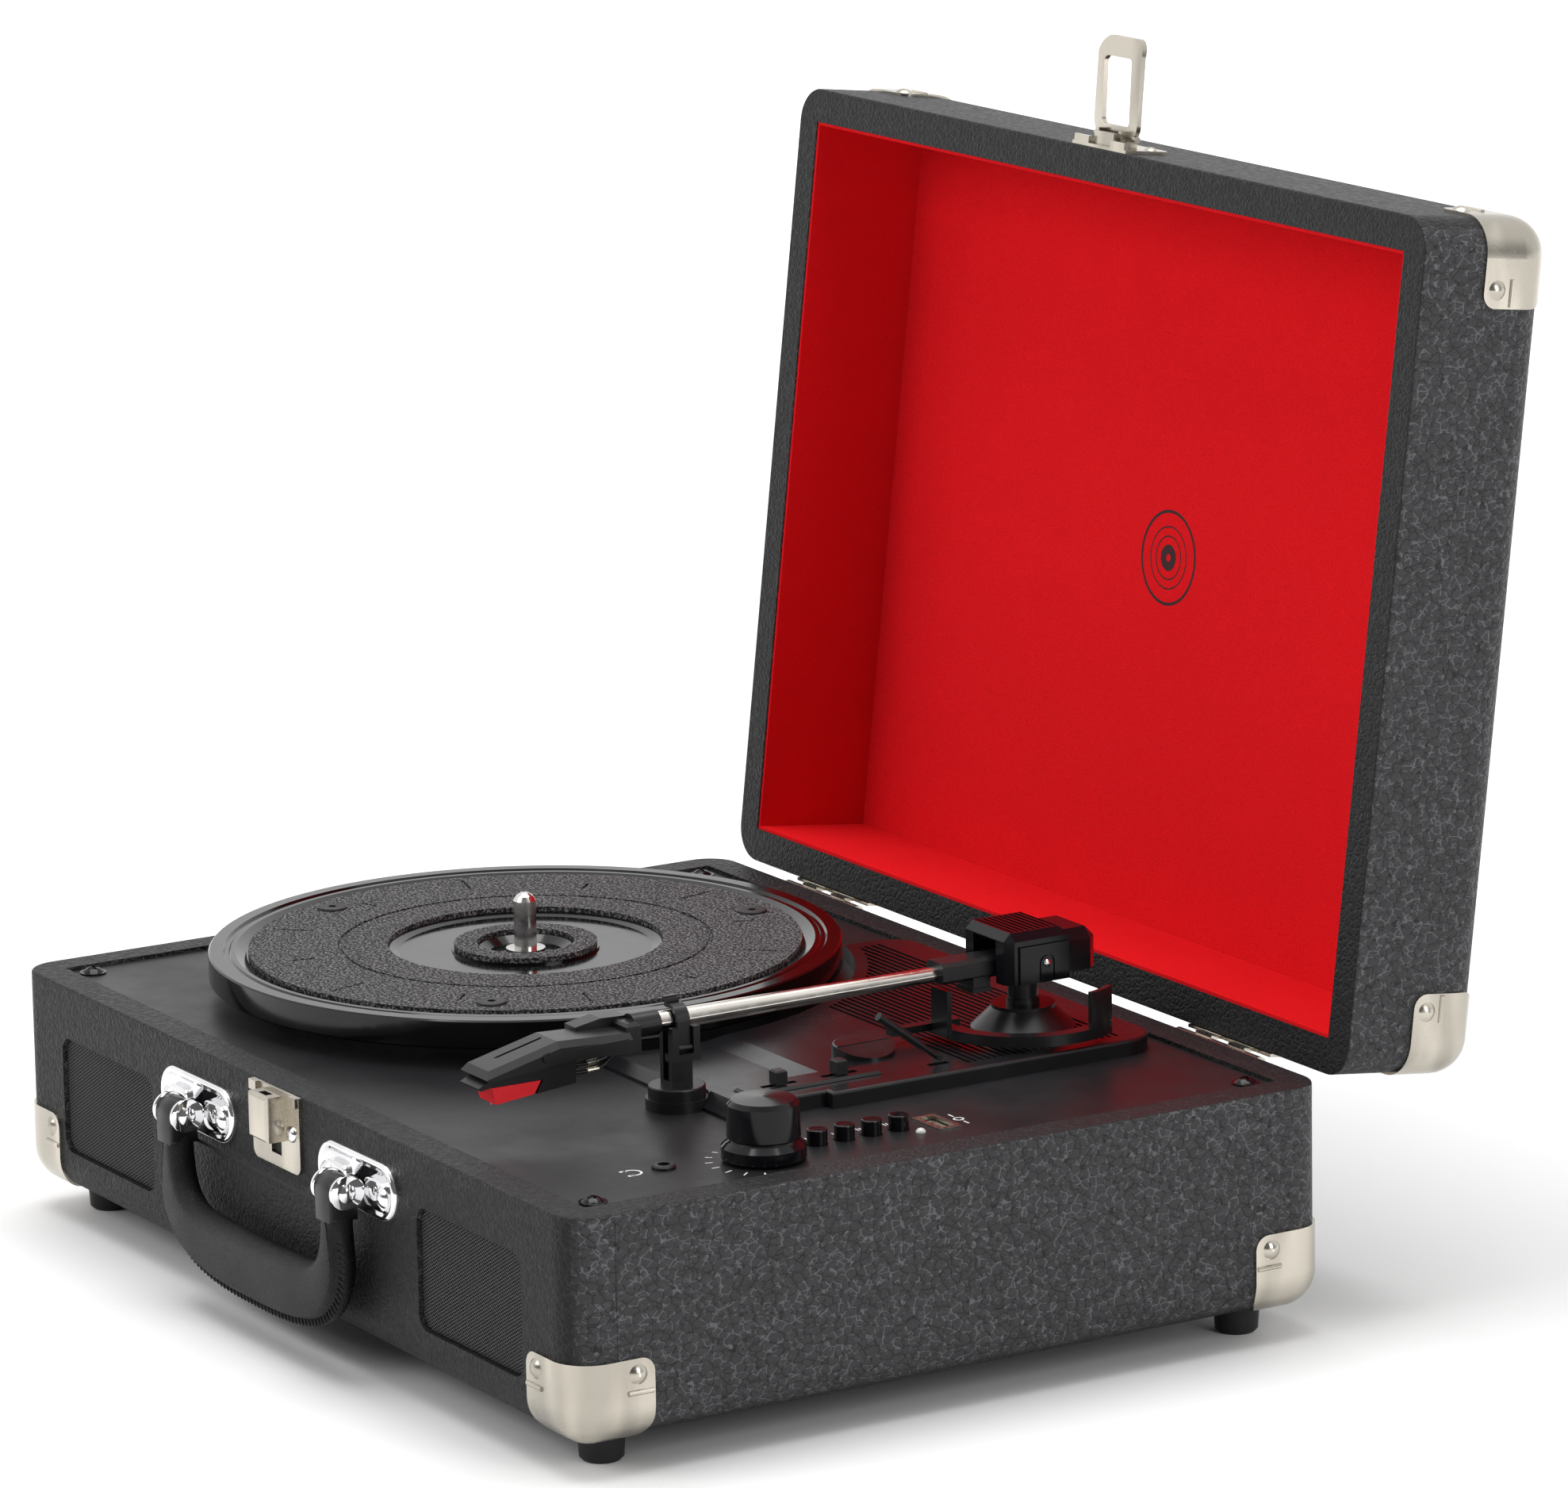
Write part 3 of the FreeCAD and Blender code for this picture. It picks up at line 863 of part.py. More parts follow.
def make_console():
    low = DECK
    body = block("console_block", ("console_right - console_left", "console_back - console_front",
                                   "console_tall"),
                 ("console_left", "console_front", low))
    body = soften("console_corner", body, "console_round",
                  lambda e: runs_along("z")(e) and middle(e).y > value("console_back") - 1)
    bite = rod("console_bite", "platter_r + console_gap", "console_tall + 2",
               ("platter_x", "platter_y", low + " - 1"))
    step = block("console_jog", ("console_step + 1", "console_step_y - console_front + 1",
                                 "console_tall + 2"),
                 ("console_right - console_step", "console_front - 1", low + " - 1"))
    blank = cut("console_blank", body, bite, step)
    blank = soften("console_bevelled", blank, "console_bevel",
                   lambda e: runs_along("x")(e) and middle(e).z > value(CONSOLE) - 0.1
                   and middle(e).y < value("console_front") + 0.1, "Part::Chamfer")
    blank = soften("console_soft", blank, "1.0",
                   lambda e: middle(e).z > value(CONSOLE) - 0.1 and e.BoundBox.ZLength < 0.01
                   and middle(e).x > 100 and middle(e).y > value("console_front") + 6)
    seat = rod("console_rest_seat", "rest_foot_r + 0.1", "console_tall + 2",
               ("pivot_x", "rest_y", low + " - 1"))
    dip = block("console_dip", ("120", "facet_y - console_front", "facet_deep + 1"),
                ("-20", "console_front", CONSOLE + " - facet_deep"))
    ramp = plate("console_ramp", "YZ_Plane", [("facet_y - 0.01", "0 - facet_deep"),
                                              ("facet_y + facet_w", "0.02"),
                                              ("facet_y - 0.01", "0.5")], "120", ("-20", "0", CONSOLE))
    dip = cut("console_dip_trim", fuse("console_dip_all", dip, ramp),
              slab("console_dip_keep", ("bezel_w + 60", "bezel_l + 40", "8"),
                   ("slider_x + 26", "bezel_y"), low))
    ribs = [block("console_rib_%d" % i, ("console_right - console_left", "rib_w", "rib_deep + 1"),
                  ("console_left", "rib_first + %d*rib_pitch" % i, CONSOLE + " - rib_deep"))
            for i in range(int(value("rib_count")))]
    field = slab("console_field", ("console_right - console_left - 2*rib_margin",
                                   "console_back - console_front", "6"),
                 ("(console_right + console_left)/2", "(console_back + console_front)/2"), low)
    edge = rod("console_field_bite", "platter_r + console_gap + 4", "10",
               ("platter_x", "platter_y", low + " - 1"))
    ribs = common("console_grooves", fuse("console_rib_set", *ribs), cut("console_field_trim", field, edge))
    slots = [slab("console_slot_" + n, ("slider_slot_w", "slot_len - 2", "10"), ("slider_x", y),
                  low + " - 1")
             for n, y in (("speed", "speed_y"), ("stop", "stop_y"))]
    lever_way = slab("console_lever_way", ("2.6", "7", "8"), ("lever_x", "lever_y"), low + " + 1.2")
    hole = rod("console_pivot_hole", "3.1", "10", ("pivot_x", "pivot_y", low + " - 1"))
    trimmed = cut("console_trimmed", blank, seat, dip, ribs, lever_way)
    bezel = slab("console_bezel", ("bezel_w", "bezel_l", "bezel_tall + 0.5"), ("slider_x", "bezel_y"),
                 CONSOLE + " - 0.5")
    bezel = soften("console_bezel_bevel", bezel, "0.8",
                   lambda e: middle(e).z > value(CONSOLE) + 0.5, "Part::Chamfer")
    pad = rod("console_pad", "pad_r", "pad_tall", ("pad_x", "pad_y", CONSOLE + " - 0.2"))
    pad = soften("console_pad_soft", pad, "0.7", lambda e: middle(e).z > value(CONSOLE) + 1)
    slope = plate("console_pad_slope", "XZ_Plane", [("0", "pad_tall + 1"), ("0", "pad_tall - 0.4"),
                                                   ("pad_r + 1", "0.6"), ("pad_r + 1", "pad_tall + 1")],
                  "3*pad_r", ("pad_x", "pad_y", CONSOLE), both=True)
    pad = cut("console_pad_cut", pad, slope)
    whole = fuse("console_whole", trimmed, bezel, pad)
    label(cut("console", whole, *slots, hole), "console")


# ---------------------------------------------------------------- tonearm

def make_rest():
    at = ("pivot_x", "rest_y")
    foot = rod("rest_foot", "rest_foot_r", "rest_foot_tall", at + (DECK,))
    step = rod("rest_step", "rest_step_r", "rest_step_tall", at + (DECK + " + rest_foot_tall",))
    step = soften("rest_step_soft", step, "0.5",
                  lambda e: middle(e).z > value(DECK + " + rest_foot_tall + 1"))
    base = DECK + " + rest_foot_tall + rest_step_tall - 0.5"
    post = slab("rest_post", ("rest_post_w", "rest_post_w", "arm_z - tube_r_front - 0.25 - (%s)" % base),
                at, base)
    groove = block("rest_groove", ("3.2", "1.8", "30"), ("pivot_x - 1.6", "rest_y - rest_post_w/2 - 0.6",
                                                         base + " + 2"))
    post = cut("rest_post_cut", post, groove)
    prongs = [slab("rest_prong_%d" % i, ("2.4", "2.2", "10.3"), ("pivot_x + clip_hinge_out", y), "91.5")
              for i, y in enumerate(("rest_y - clip_w/2 - 1.4", "rest_y + clip_w/2 + 1.4"))]
    shelf = slab("rest_shelf", ("4.6", "clip_w + 5", "2.2"), ("pivot_x + 3.9", "rest_y"), "91.5")
    pin = rod("rest_clip_pin", "clip_pin_r", "clip_w + 4",
              ("pivot_x + clip_hinge_out", "rest_y - clip_w/2 - 2", "clip_hinge_z"), "y")
    label(fuse("tonearm_rest", foot, step, post, *prongs, shelf, pin), "tonearm_rest")
    make_clip()


def make_clip():
    """The clip that locks the arm: it hooks over the tube from the right and turns on its foot."""
    back = "rest_y - clip_w/2"
    ring = cut("clip_ring",
               rod("clip_outer", "clip_out_r", "clip_w", ("pivot_x", back, "arm_z"), "y", 148.0, -110.0),
               rod("clip_inner", "clip_in_r", "clip_w + 2", ("pivot_x", "%s - 1" % back, "arm_z"), "y"))
    hinge = ("pivot_x + clip_hinge_out", back, "clip_hinge_z")
    barrel = rod("clip_barrel", "clip_barrel_r", "clip_w", hinge, "y")
    leg = block("clip_leg", ("1.2", "clip_w", "arm_z - clip_hinge_z"),
                ("pivot_x + clip_out_r - 1.2", back, "clip_hinge_z"))
    tab = block("clip_tab", ("1.4", "clip_w", "2.5"), ("pivot_x - 2.7", back, "arm_z + clip_in_r"))
    hook = block("clip_hook", ("1.4", "clip_w", "1.1"), ("pivot_x - 3.8", back, "arm_z + clip_in_r + 1.8"))
    bore = rod("clip_bore", "clip_pin_r + 0.05", "clip_w + 2",
               ("pivot_x + clip_hinge_out", back + " - 1", "clip_hinge_z"), "y")
    label(cut("rest_clip", fuse("clip_whole", ring, barrel, leg, tab, hook), bore), "rest_clip")


def make_tonearm():
    x = "pivot_x"
    tube = cone("tube_form", "tube_r_front", "tube_r_back", "tube_back - tube_front",
                (x, "tube_front", "arm_z"), "y")
    bore = rod("tube_bore", "tube_bore_r", "tube_back - tube_front + 2", (x, "tube_front - 1", "arm_z"),
               "y")
    label(cut("tonearm_tube", tube, bore), "tonearm_tube")
    neck = block("neck_bar", ("neck_w", "house_back - tube_back + 6", "neck_tall"),
                 (x + " - neck_w/2", "tube_back - 6", "arm_z - neck_tall/2 + 0.6"))
    neck = soften("neck_bevel", neck, "1.1", lambda e: runs_along("y")(e), "Part::Chamfer")
    drop = block("neck_drop", ("neck_w - 1", "6", "4.6"),
                 (x + " - neck_w/2 + 0.5", "house_front - 6.8", "arm_z - neck_tall/2 - 3.2"))
    lip = block("neck_lip", ("neck_w", "6.6", "1.3"),
                (x + " - neck_w/2", "house_front - 7.4", "arm_z - neck_tall/2 - 3.4"))
    cross = rod("neck_cross_bore", "pitch_pin_r + 0.05", "neck_w + 2",
                (x + " - neck_w/2 - 1", "pivot_y", "pitch_z"), "x")
    socket = common("neck_socket_end", tube_copy("neck_tube_space"), neck_reach())
    label(cut("tonearm_neck", fuse("neck_whole", neck, drop, lip), socket, cross), "tonearm_neck")
    weight = block("weight_block", ("2*house_half - 4", "weight_len", "12.6"),
                   (x + " - house_half + 2", "house_back + 0.6", "100.2"))
    weight = soften("weight_bevel", weight, "3.2",
                    lambda e: middle(e).y > value("house_back + 6") and middle(e).z > 102, "Part::Chamfer")
    label(weight, "counterweight")
    make_headshell()
    make_housing()


def tube_copy(name):
    """The tube's outer form again, as the space that it needs in the neck."""
    return cone(name, "tube_r_front", "tube_r_back", "tube_back - tube_front",
                ("pivot_x", "tube_front", "arm_z"), "y")


def neck_reach():
    """The stretch of the tube that is inside the neck."""
    return block("neck_reach", ("20", "6", "20"), ("pivot_x - 10", "tube_back - 6", "arm_z - 10"))


def make_headshell():
    """The shell at the tube's end, the cartridge that hangs in it, and the red stylus holder."""
    side = [("tube_front - 12.3", "97.2"), ("tube_front - 12.3", "103.2"), ("tube_front - 36.8", "104.3"),
            ("tube_front - 59.8", "98.8"), ("tube_front - 61.1", "96.4"), ("tube_front - 57.8", "95.8"),
            ("tube_front - 32", "98.4")]
    shell = plate("shell_side", "YZ_Plane", side, "16", ("pivot_x - 8", "0", "0"))
    shell = soften("shell_bevel", shell, "1.8",
                   lambda e: middle(e).z > 100.5 and not runs_along("x")(e)
                   and middle(e).y < value("tube_front") - 14, "Part::Chamfer")
    hollow = block("shell_hollow", ("12.4", "31.6", "6"), ("pivot_x - 6.2", "tube_front - 47.7", "93.2"))
    slot = slab("shell_slot", ("1.2", "16", "6"), ("pivot_x - 1", "tube_front - 46"), "100.2")
    joint = block("shell_joint", ("12.6", "4.9", "8.6"), ("pivot_x - 7", "tube_front - 13", "96.8"))
    joint = soften("shell_joint_bevel", joint, "0.9", lambda e: middle(e).z > 105, "Part::Chamfer")
    wedge = plate("shell_wedge", "YZ_Plane",
                  [("tube_front - 8.4", "102.6"), ("tube_front - 8.4", "106.0"),
                   ("tube_front - 17", "106.3"),
                   ("tube_front - 25.6", "104.8"), ("tube_front - 25.6", "102.6")], "6.4",
                  ("pivot_x - 9", "0", "0"))
    rib = plate("shell_rib", "YZ_Plane",
                [("tube_front - 14", "99.9"), ("tube_front - 14", "102.1"), ("tube_front - 40", "101.4"),
                 ("tube_front - 40", "99.8")], "0.9", ("pivot_x + 7.8", "0", "0"))
    boss = rod("shell_boss", "1.5", "0.9", ("pivot_x + 7.8", "tube_front - 41.2", "100.5"), "x")
    collar = rod("shell_collar", "3.9", "9.2", ("pivot_x", "tube_front - 9", "arm_z"), "y")
    collar = soften("shell_collar_soft", collar, "0.4", lambda e: middle(e).y > value("tube_front"))
    bore = rod("shell_bore", "tube_r_front", "9", ("pivot_x", "tube_front", "arm_z"), "y")
    whole = fuse("shell_whole", shell, joint, wedge, rib, boss, collar)
    label(cut("headshell", whole, hollow, slot, bore), "headshell")
    body = plate("cartridge_side", "YZ_Plane",
                 [("tube_front - 59.3", "95.5"), ("tube_front - 62.8", "93.8"), ("tube_front - 62", "92.9"),
                  ("tube_front - 58.5", "93.5"), ("tube_front - 41.2", "93.4"),
                  ("tube_front - 43.5", "89.4"),
                  ("tube_front - 30.3", "90.6"), ("tube_front - 29.9", "98.6"),
                  ("tube_front - 47.1", "98.9"),
                  ("tube_front - 47.3", "96.4")], "11", ("pivot_x - 5.5", "0", "0"))
    pins = [rod("cartridge_pin_%d%d" % (i, j), "0.6", "6.4",
                ("pivot_x + %s" % dx, "tube_front - 30.4", z), "y")
            for i, dx in enumerate(("-3.0", "3.0")) for j, z in enumerate(("92.8", "95.2"))]
    label(fuse("cartridge", body, *pins), "cartridge")
    holder = plate("stylus_holder", "YZ_Plane",
                   [("tube_front - 58.1", "93.2"), ("tube_front - 41.7", "93.1"),
                    ("tube_front - 44", "89.3"),
                    ("tube_front - 56.7", "88.0")], "10", ("pivot_x - 5", "0", "0"))
    beam = plate("stylus_beam", "YZ_Plane",
                 [("tube_front - 47", "89.4"), ("tube_front - 55.4", "88.0"), ("tube_front - 55.8", "86.9"),
                  ("tube_front - 54.8", "87.4"), ("tube_front - 47", "88.6")], "0.9",
                  ("pivot_x - 0.45", "0", "0"))
    label(fuse("stylus", holder, beam), "stylus")


def pill(name, radius, deep, low):
    """An upright slot shape on the housing's right face, rounded at the top about the pitch pin."""
    x = "pivot_x + house_half + 0.8 - (%s)" % deep
    return fuse(name, rod(name + "_top", radius, "2", (x, "pivot_y", "pitch_z"), "x"),
                block(name + "_stem", ("2", "2*(%s)" % radius, "pitch_z - house_low - (%s)" % low),
                      (x, "pivot_y - (%s)" % radius, "house_low + (%s)" % low)))


def make_housing():
    """The bearing housing with its ribbed top, and the post and cone that carry it."""
    x = "pivot_x - house_half"
    box = block("house_box", ("2*house_half", "house_back - house_front", "house_top - house_low"),
                (x, "house_front", "house_low"))
    box = soften("house_bevel", box, "2.4",
                 lambda e: middle(e).z > value("house_top") - 0.1 or (
                     runs_along("z")(e) and middle(e).y < value("house_front") + 1), "Part::Chamfer")
    cheek = block("house_cheek", ("1", "house_back - house_front - 4.6", "house_top - house_low - 4.2"),
                  ("pivot_x + house_half - 0.2", "house_front + 4", "house_low"))
    cheek = cut("house_cheek_marked", cheek, cut("pill_groove", pill("pill_outer", "2.7", "0.5", "0.7"),
                                                 pill("pill_inner", "2.2", "1", "-1")))
    space = block("house_space", ("neck_w + 3", "house_back - house_front + 4", "13"),
                  ("pivot_x - neck_w/2 - 1.5", "house_front - 2", "house_low - 0.01"))
    sill = slab("house_floor", ("neck_w + 3.4", "12", "0.8"), ("pivot_x", "pivot_y"), "house_low")
    ribs = [block("house_rib_%d" % i, ("2*house_half - 6", "0.9", "1.6"),
                  ("pivot_x - house_half + 3", "house_front + 3.4 + %d*1.9" % i, "house_top - 0.8"))
            for i in range(9)]
    pin = rod("pitch_pin", "pitch_pin_r", "2*house_half + 1.5",
              ("pivot_x - house_half - 0.4", "pivot_y", "pitch_z"), "x")
    shell = cut("house_shell", box, space, *ribs)
    label(fuse("tonearm_housing", shell, cheek, sill, pin), "tonearm_housing")
    label(turned("pivot_post", [("0", DECK + " - deck_t + 0.2"), ("3.0", DECK + " - deck_t + 0.2"),
                                ("3.0", "turret_low"),
                                ("turret_r", "turret_low"), ("turret_r", "turret_low + 1.6"),
                                ("cone_top_r", "turret_high - 1"), ("cone_top_r", "turret_high"),
                                ("post_r + 0.5", "turret_high"), ("post_r + 0.5", "turret_high + 1.8"),
                                ("post_r", "turret_high + 1.8"), ("post_r", "house_low"),
                                ("0", "house_low")],
                 ("pivot_x", "pivot_y", "0")), "pivot_post")


def make_cueing():
    """The curved lift platform round the pivot, and the lever that raises it."""
    at = ("pivot_x", "pivot_y", "rail_low")
    rail = cut("rail_arc", rod("rail_outer", "rail_out_r", "rail_tall", at, "z", 132.0, -97.0),
               rod("rail_inner", "rail_in_r", "rail_tall + 2", ("pivot_x", "pivot_y", "rail_low - 1")))
    rear = cut("tab_rear_arc", rod("tab_outer", "rail_out_r", "14.6", at, "z", 22.0, 13.0),
               rod("tab_inner", "rail_out_r - tab_t", "16", at))
    front = block("tab_front", ("9", "tab_t", "14.8"), ("pivot_x - 6", "pivot_y - rail_out_r", "rail_low"))
    arm = block("tab_arm", ("3.6", "24", "2.2"), ("pivot_x - 9.4", "pivot_y - rail_out_r - 14",
                                                  "rail_low + 1"))
    joiner = block("tab_joiner", ("6", "4", "rail_tall"), ("pivot_x - 9.4", "pivot_y - rail_out_r",
                                                           "rail_low"))
    label(fuse("cue_platform", rail, rear, front, arm, joiner), "cue_platform")
    turn = FreeCAD.Rotation(AXIS["x"], 90 - value("lever_rise"))
    pieces = []
    for name, radius, start, length in (("cue_lever_wire", "lever_r", 0.0, value("lever_len")),
                                        ("cue_lever_sleeve", "sleeve_r", 7.5, value("lever_len") - 7.0)):
        bar = doc.addObject("Part::Cylinder", name)
        bind(bar, Radius=radius)
        bar.Height = length
        along = turn.multVec(V(0, 0, start))
        bar.Placement = FreeCAD.Placement(V(), turn)
        pieces.append(put(bar,
                          ["%s + %.6f" % (n, s) for n, s in zip(("lever_x", "lever_y", "lever_z"), along)]))
    wire = fuse("cue_lever_all", pieces[0], rod("cue_lever_axle", "lever_r", "2.2",
                                                ("lever_x - 1.1", "lever_y", "lever_z"), "x"))
    label(fuse("cue_lever", wire, pieces[1]), "cue_lever")


# ---------------------------------------------------------------- controls

def make_controls():
    gap = DECK + " + knob_gap"
    label(turned("volume_knob", [("1.6", gap), ("knob_skirt_r - 0.4", gap),
                                 ("knob_skirt_r", gap + " + 0.5"),
                                 ("knob_skirt_r", gap + " + knob_skirt_tall - 1.6"),
                                 ("knob_r", gap + " + knob_skirt_tall"),
                                 ("knob_r - 0.5", gap + " + knob_skirt_tall + 0.6"),
                                 ("knob_r", gap + " + knob_skirt_tall + 1.2"),
                                 ("knob_r - 0.2", gap + " + knob_tall - 1.4"),
                                 ("knob_r - 1.4", gap + " + knob_tall"),
                                 ("0", gap + " + knob_tall + 0.5"), ("0", gap + " + 9"),
                                 ("1.6", gap + " + 9")],
                 ("knob_x", "knob_y", "0")), "volume_knob")
    pot = slab("pot_body", ("16", "16", "8"), ("knob_x - 1", "knob_y"), DECK + " - deck_t - 12")
    bush = rod("pot_bush", "3.3", "7", ("knob_x", "knob_y", DECK + " - deck_t - 4"))
    shaft = rod("pot_shaft", "1.55", "12.6", ("knob_x", "knob_y", DECK + " - 4"))
    label(fuse("potentiometer", pot, bush, shaft), "potentiometer")
    for i in range(4):
        cap = rod("button_cap_%d" % (i + 1), "button_r", "button_rise + 8",
                  ("button_x", "button_y + %d*button_pitch" % i, DECK + " - 8"))
        cap = soften("button_soft_%d" % (i + 1), cap, "0.45", lambda e: middle(e).z > value(DECK))
        label(cap, "button_%d" % (i + 1))
    for node, y in (("speed_switch", "speed_y"), ("autostop_switch", "stop_y")):
        knob = slab(node + "_knob", ("slider_w", "slider_len", "slider_tall"), ("slider_x", y),
                    CONSOLE + " + bezel_tall + 0.2")
        knob = soften(node + "_soft", knob, "0.5",
                      lambda e: middle(e).z > value(CONSOLE + " + bezel_tall + 3"), "Part::Chamfer")
        stem = slab(node + "_stem", ("slider_slot_w - 0.5", "3", "console_tall + bezel_tall + 2"),
                    ("slider_x", y),
                    DECK + " - 0.6")
        label(fuse(node, knob, stem), node)
    shell = slab("usb_shell_form", ("usb_w", "usb_d", "14"), ("usb_x", "usb_y"), DECK + " + 0.5 - 14")
    mouth = slab("usb_mouth", ("usb_w - 2*usb_shell", "usb_d - 2*usb_shell", "12"), ("usb_x", "usb_y"),
                 DECK + " + 0.5 - 11")
    tongue = slab("usb_tongue", ("usb_w - 2.4", "1.8", "10"), ("usb_x", "usb_y + 0.9"),
                  DECK + " + 0.5 - 11.2")
    flange = slab("usb_flange", ("usb_w + 2", "usb_d + 2", "0.4"), ("usb_x", "usb_y"), DECK + " + 0.1")
    label(fuse("usb_socket", cut("usb_frame", fuse("usb_outer", shell, flange), mouth), tongue),
          "usb_socket")
    label(turned("headphone_socket", [("jack_bore_r", DECK + " + 1.2"), ("jack_r - 0.5", DECK + " + 1.2"),
                                      ("jack_r", DECK + " + 0.7"), ("jack_r", DECK),
                                      ("jack_r - 0.55", DECK),
                                      ("jack_r - 0.55", DECK + " - jack_deep - 2"),
                                      ("0", DECK + " - jack_deep - 2"),
                                      ("0", DECK + " - jack_deep"), ("jack_bore_r", DECK + " - jack_deep")],
                 ("jack_x", "jack_y", "0")), "headphone_socket")
    lens = rod("lamp_body", "lamp_r", "4", ("lamp_x", "lamp_y", DECK + " - 3.6"))
    label(fuse("status_light", lens,
               dome("lamp_dome", "lamp_r", "1.0", ("lamp_x", "lamp_y", DECK + " + 0.4"))),
          "status_light")
    board = block("board_form", ("34", "122", "1.6"),
                  ("knob_x - 18.5", "knob_y - 40", DECK + " - deck_t - 15"))
    label(board, "circuit_board")


def check_and_write():
    """Stop on any failed object or bad shape, then write each node's STEP file."""
    doc.recompute()
    failed = [o.Name for o in doc.Objects if {"Invalid", "Error"} & set(o.State)]
    if failed:
        raise SystemExit("failed objects: %s" % failed)
    os.makedirs(OUT, exist_ok=True)
    for old in os.listdir(OUT):
        if old.endswith(".step"):
            os.remove(os.path.join(OUT, old))
    for node, obj in NODES.items():
        shape = obj.Shape
        if shape.isNull() or not shape.isValid() or not shape.Solids:
            raise SystemExit("%s has no valid solid" % node)
        solids = shape.Solids[0] if len(shape.Solids) == 1 else Part.makeCompound(shape.Solids)
        solids.exportStep(os.path.join(OUT, node + ".step"))
        print("%-20s %2d solids %10.1f mm3" % (node, len(shape.Solids), shape.Volume))
    print(len(NODES), "nodes")


make_cases()
make_feet()
make_hinges()
make_catch()
make_latch()
make_handle()
make_speakers()
make_sockets()
make_deck()
make_platter()
make_drive()
make_console()
make_rest()
make_tonearm()
make_cueing()
make_controls()
check_and_write()
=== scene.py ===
"""Looks for the suitcase record player: materials, soft pieces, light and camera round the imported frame."""
import json
import math

import bmesh
import bpy
from mathutils import Matrix, Vector


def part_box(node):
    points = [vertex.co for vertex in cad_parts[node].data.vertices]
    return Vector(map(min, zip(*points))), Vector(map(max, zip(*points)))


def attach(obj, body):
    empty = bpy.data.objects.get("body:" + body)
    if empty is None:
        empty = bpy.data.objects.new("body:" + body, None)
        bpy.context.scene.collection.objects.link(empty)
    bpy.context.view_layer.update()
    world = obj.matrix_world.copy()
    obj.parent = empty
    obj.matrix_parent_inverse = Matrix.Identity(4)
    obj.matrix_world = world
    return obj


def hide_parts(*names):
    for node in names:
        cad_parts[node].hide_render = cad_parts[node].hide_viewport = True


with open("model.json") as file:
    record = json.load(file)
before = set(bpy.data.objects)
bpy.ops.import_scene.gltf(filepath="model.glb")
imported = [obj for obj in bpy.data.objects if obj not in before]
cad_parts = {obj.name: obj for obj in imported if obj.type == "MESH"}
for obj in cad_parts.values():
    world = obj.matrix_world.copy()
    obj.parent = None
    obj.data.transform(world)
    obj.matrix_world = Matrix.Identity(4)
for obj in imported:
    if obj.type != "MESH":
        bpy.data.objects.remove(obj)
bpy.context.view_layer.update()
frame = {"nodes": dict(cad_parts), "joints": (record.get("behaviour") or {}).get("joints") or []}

NODES = frame["nodes"]
JOINTS = {joint["name"]: joint for joint in frame["joints"]}
MM = 0.001      # shapes are worked out in millimetres


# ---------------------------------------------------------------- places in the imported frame

def near(node, side, axis):
    """A level of a CAD node's box in millimetres: side 0 is its low end, 1 its high end."""
    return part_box(node)[side][axis] / MM


def middle(node, axis):
    """The middle of a CAD node's box along one axis, in millimetres."""
    return (near(node, 0, axis) + near(node, 1, axis)) / 2


def joint_place(name):
    """A joint's place in millimetres."""
    return [c / MM for c in JOINTS[name]["pos_m"]]


HINGE_Y, HINGE_Z = joint_place("lid_hinge")[1:]
LID_OPEN = math.radians(JOINTS["lid_hinge"]["range_deg"][1])
BRACKET_HALF, BRACKET_ROUND = 23.8, 8.85    # half a handle bracket's length, and the radius of its ends
PIN_OUT = 8.3                               # from the case's front face to the handle's pins
HANDLE_X = near("handle_brackets", 1, 0) - BRACKET_HALF
HANDLE_Y = middle("handle_pins", 1)
HANDLE_Z = middle("handle_pins", 2)
CASE_FRONT = HANDLE_Y + PIN_OUT
CASE_DEPTH = 258.0

# Heights in the lid, as it lies when shut
LATCH_PIN_Z = 84.9
LID_RIVET_Z = 104.7
LINING_FACE_Z = 118.95


# ---------------------------------------------------------------- node helpers

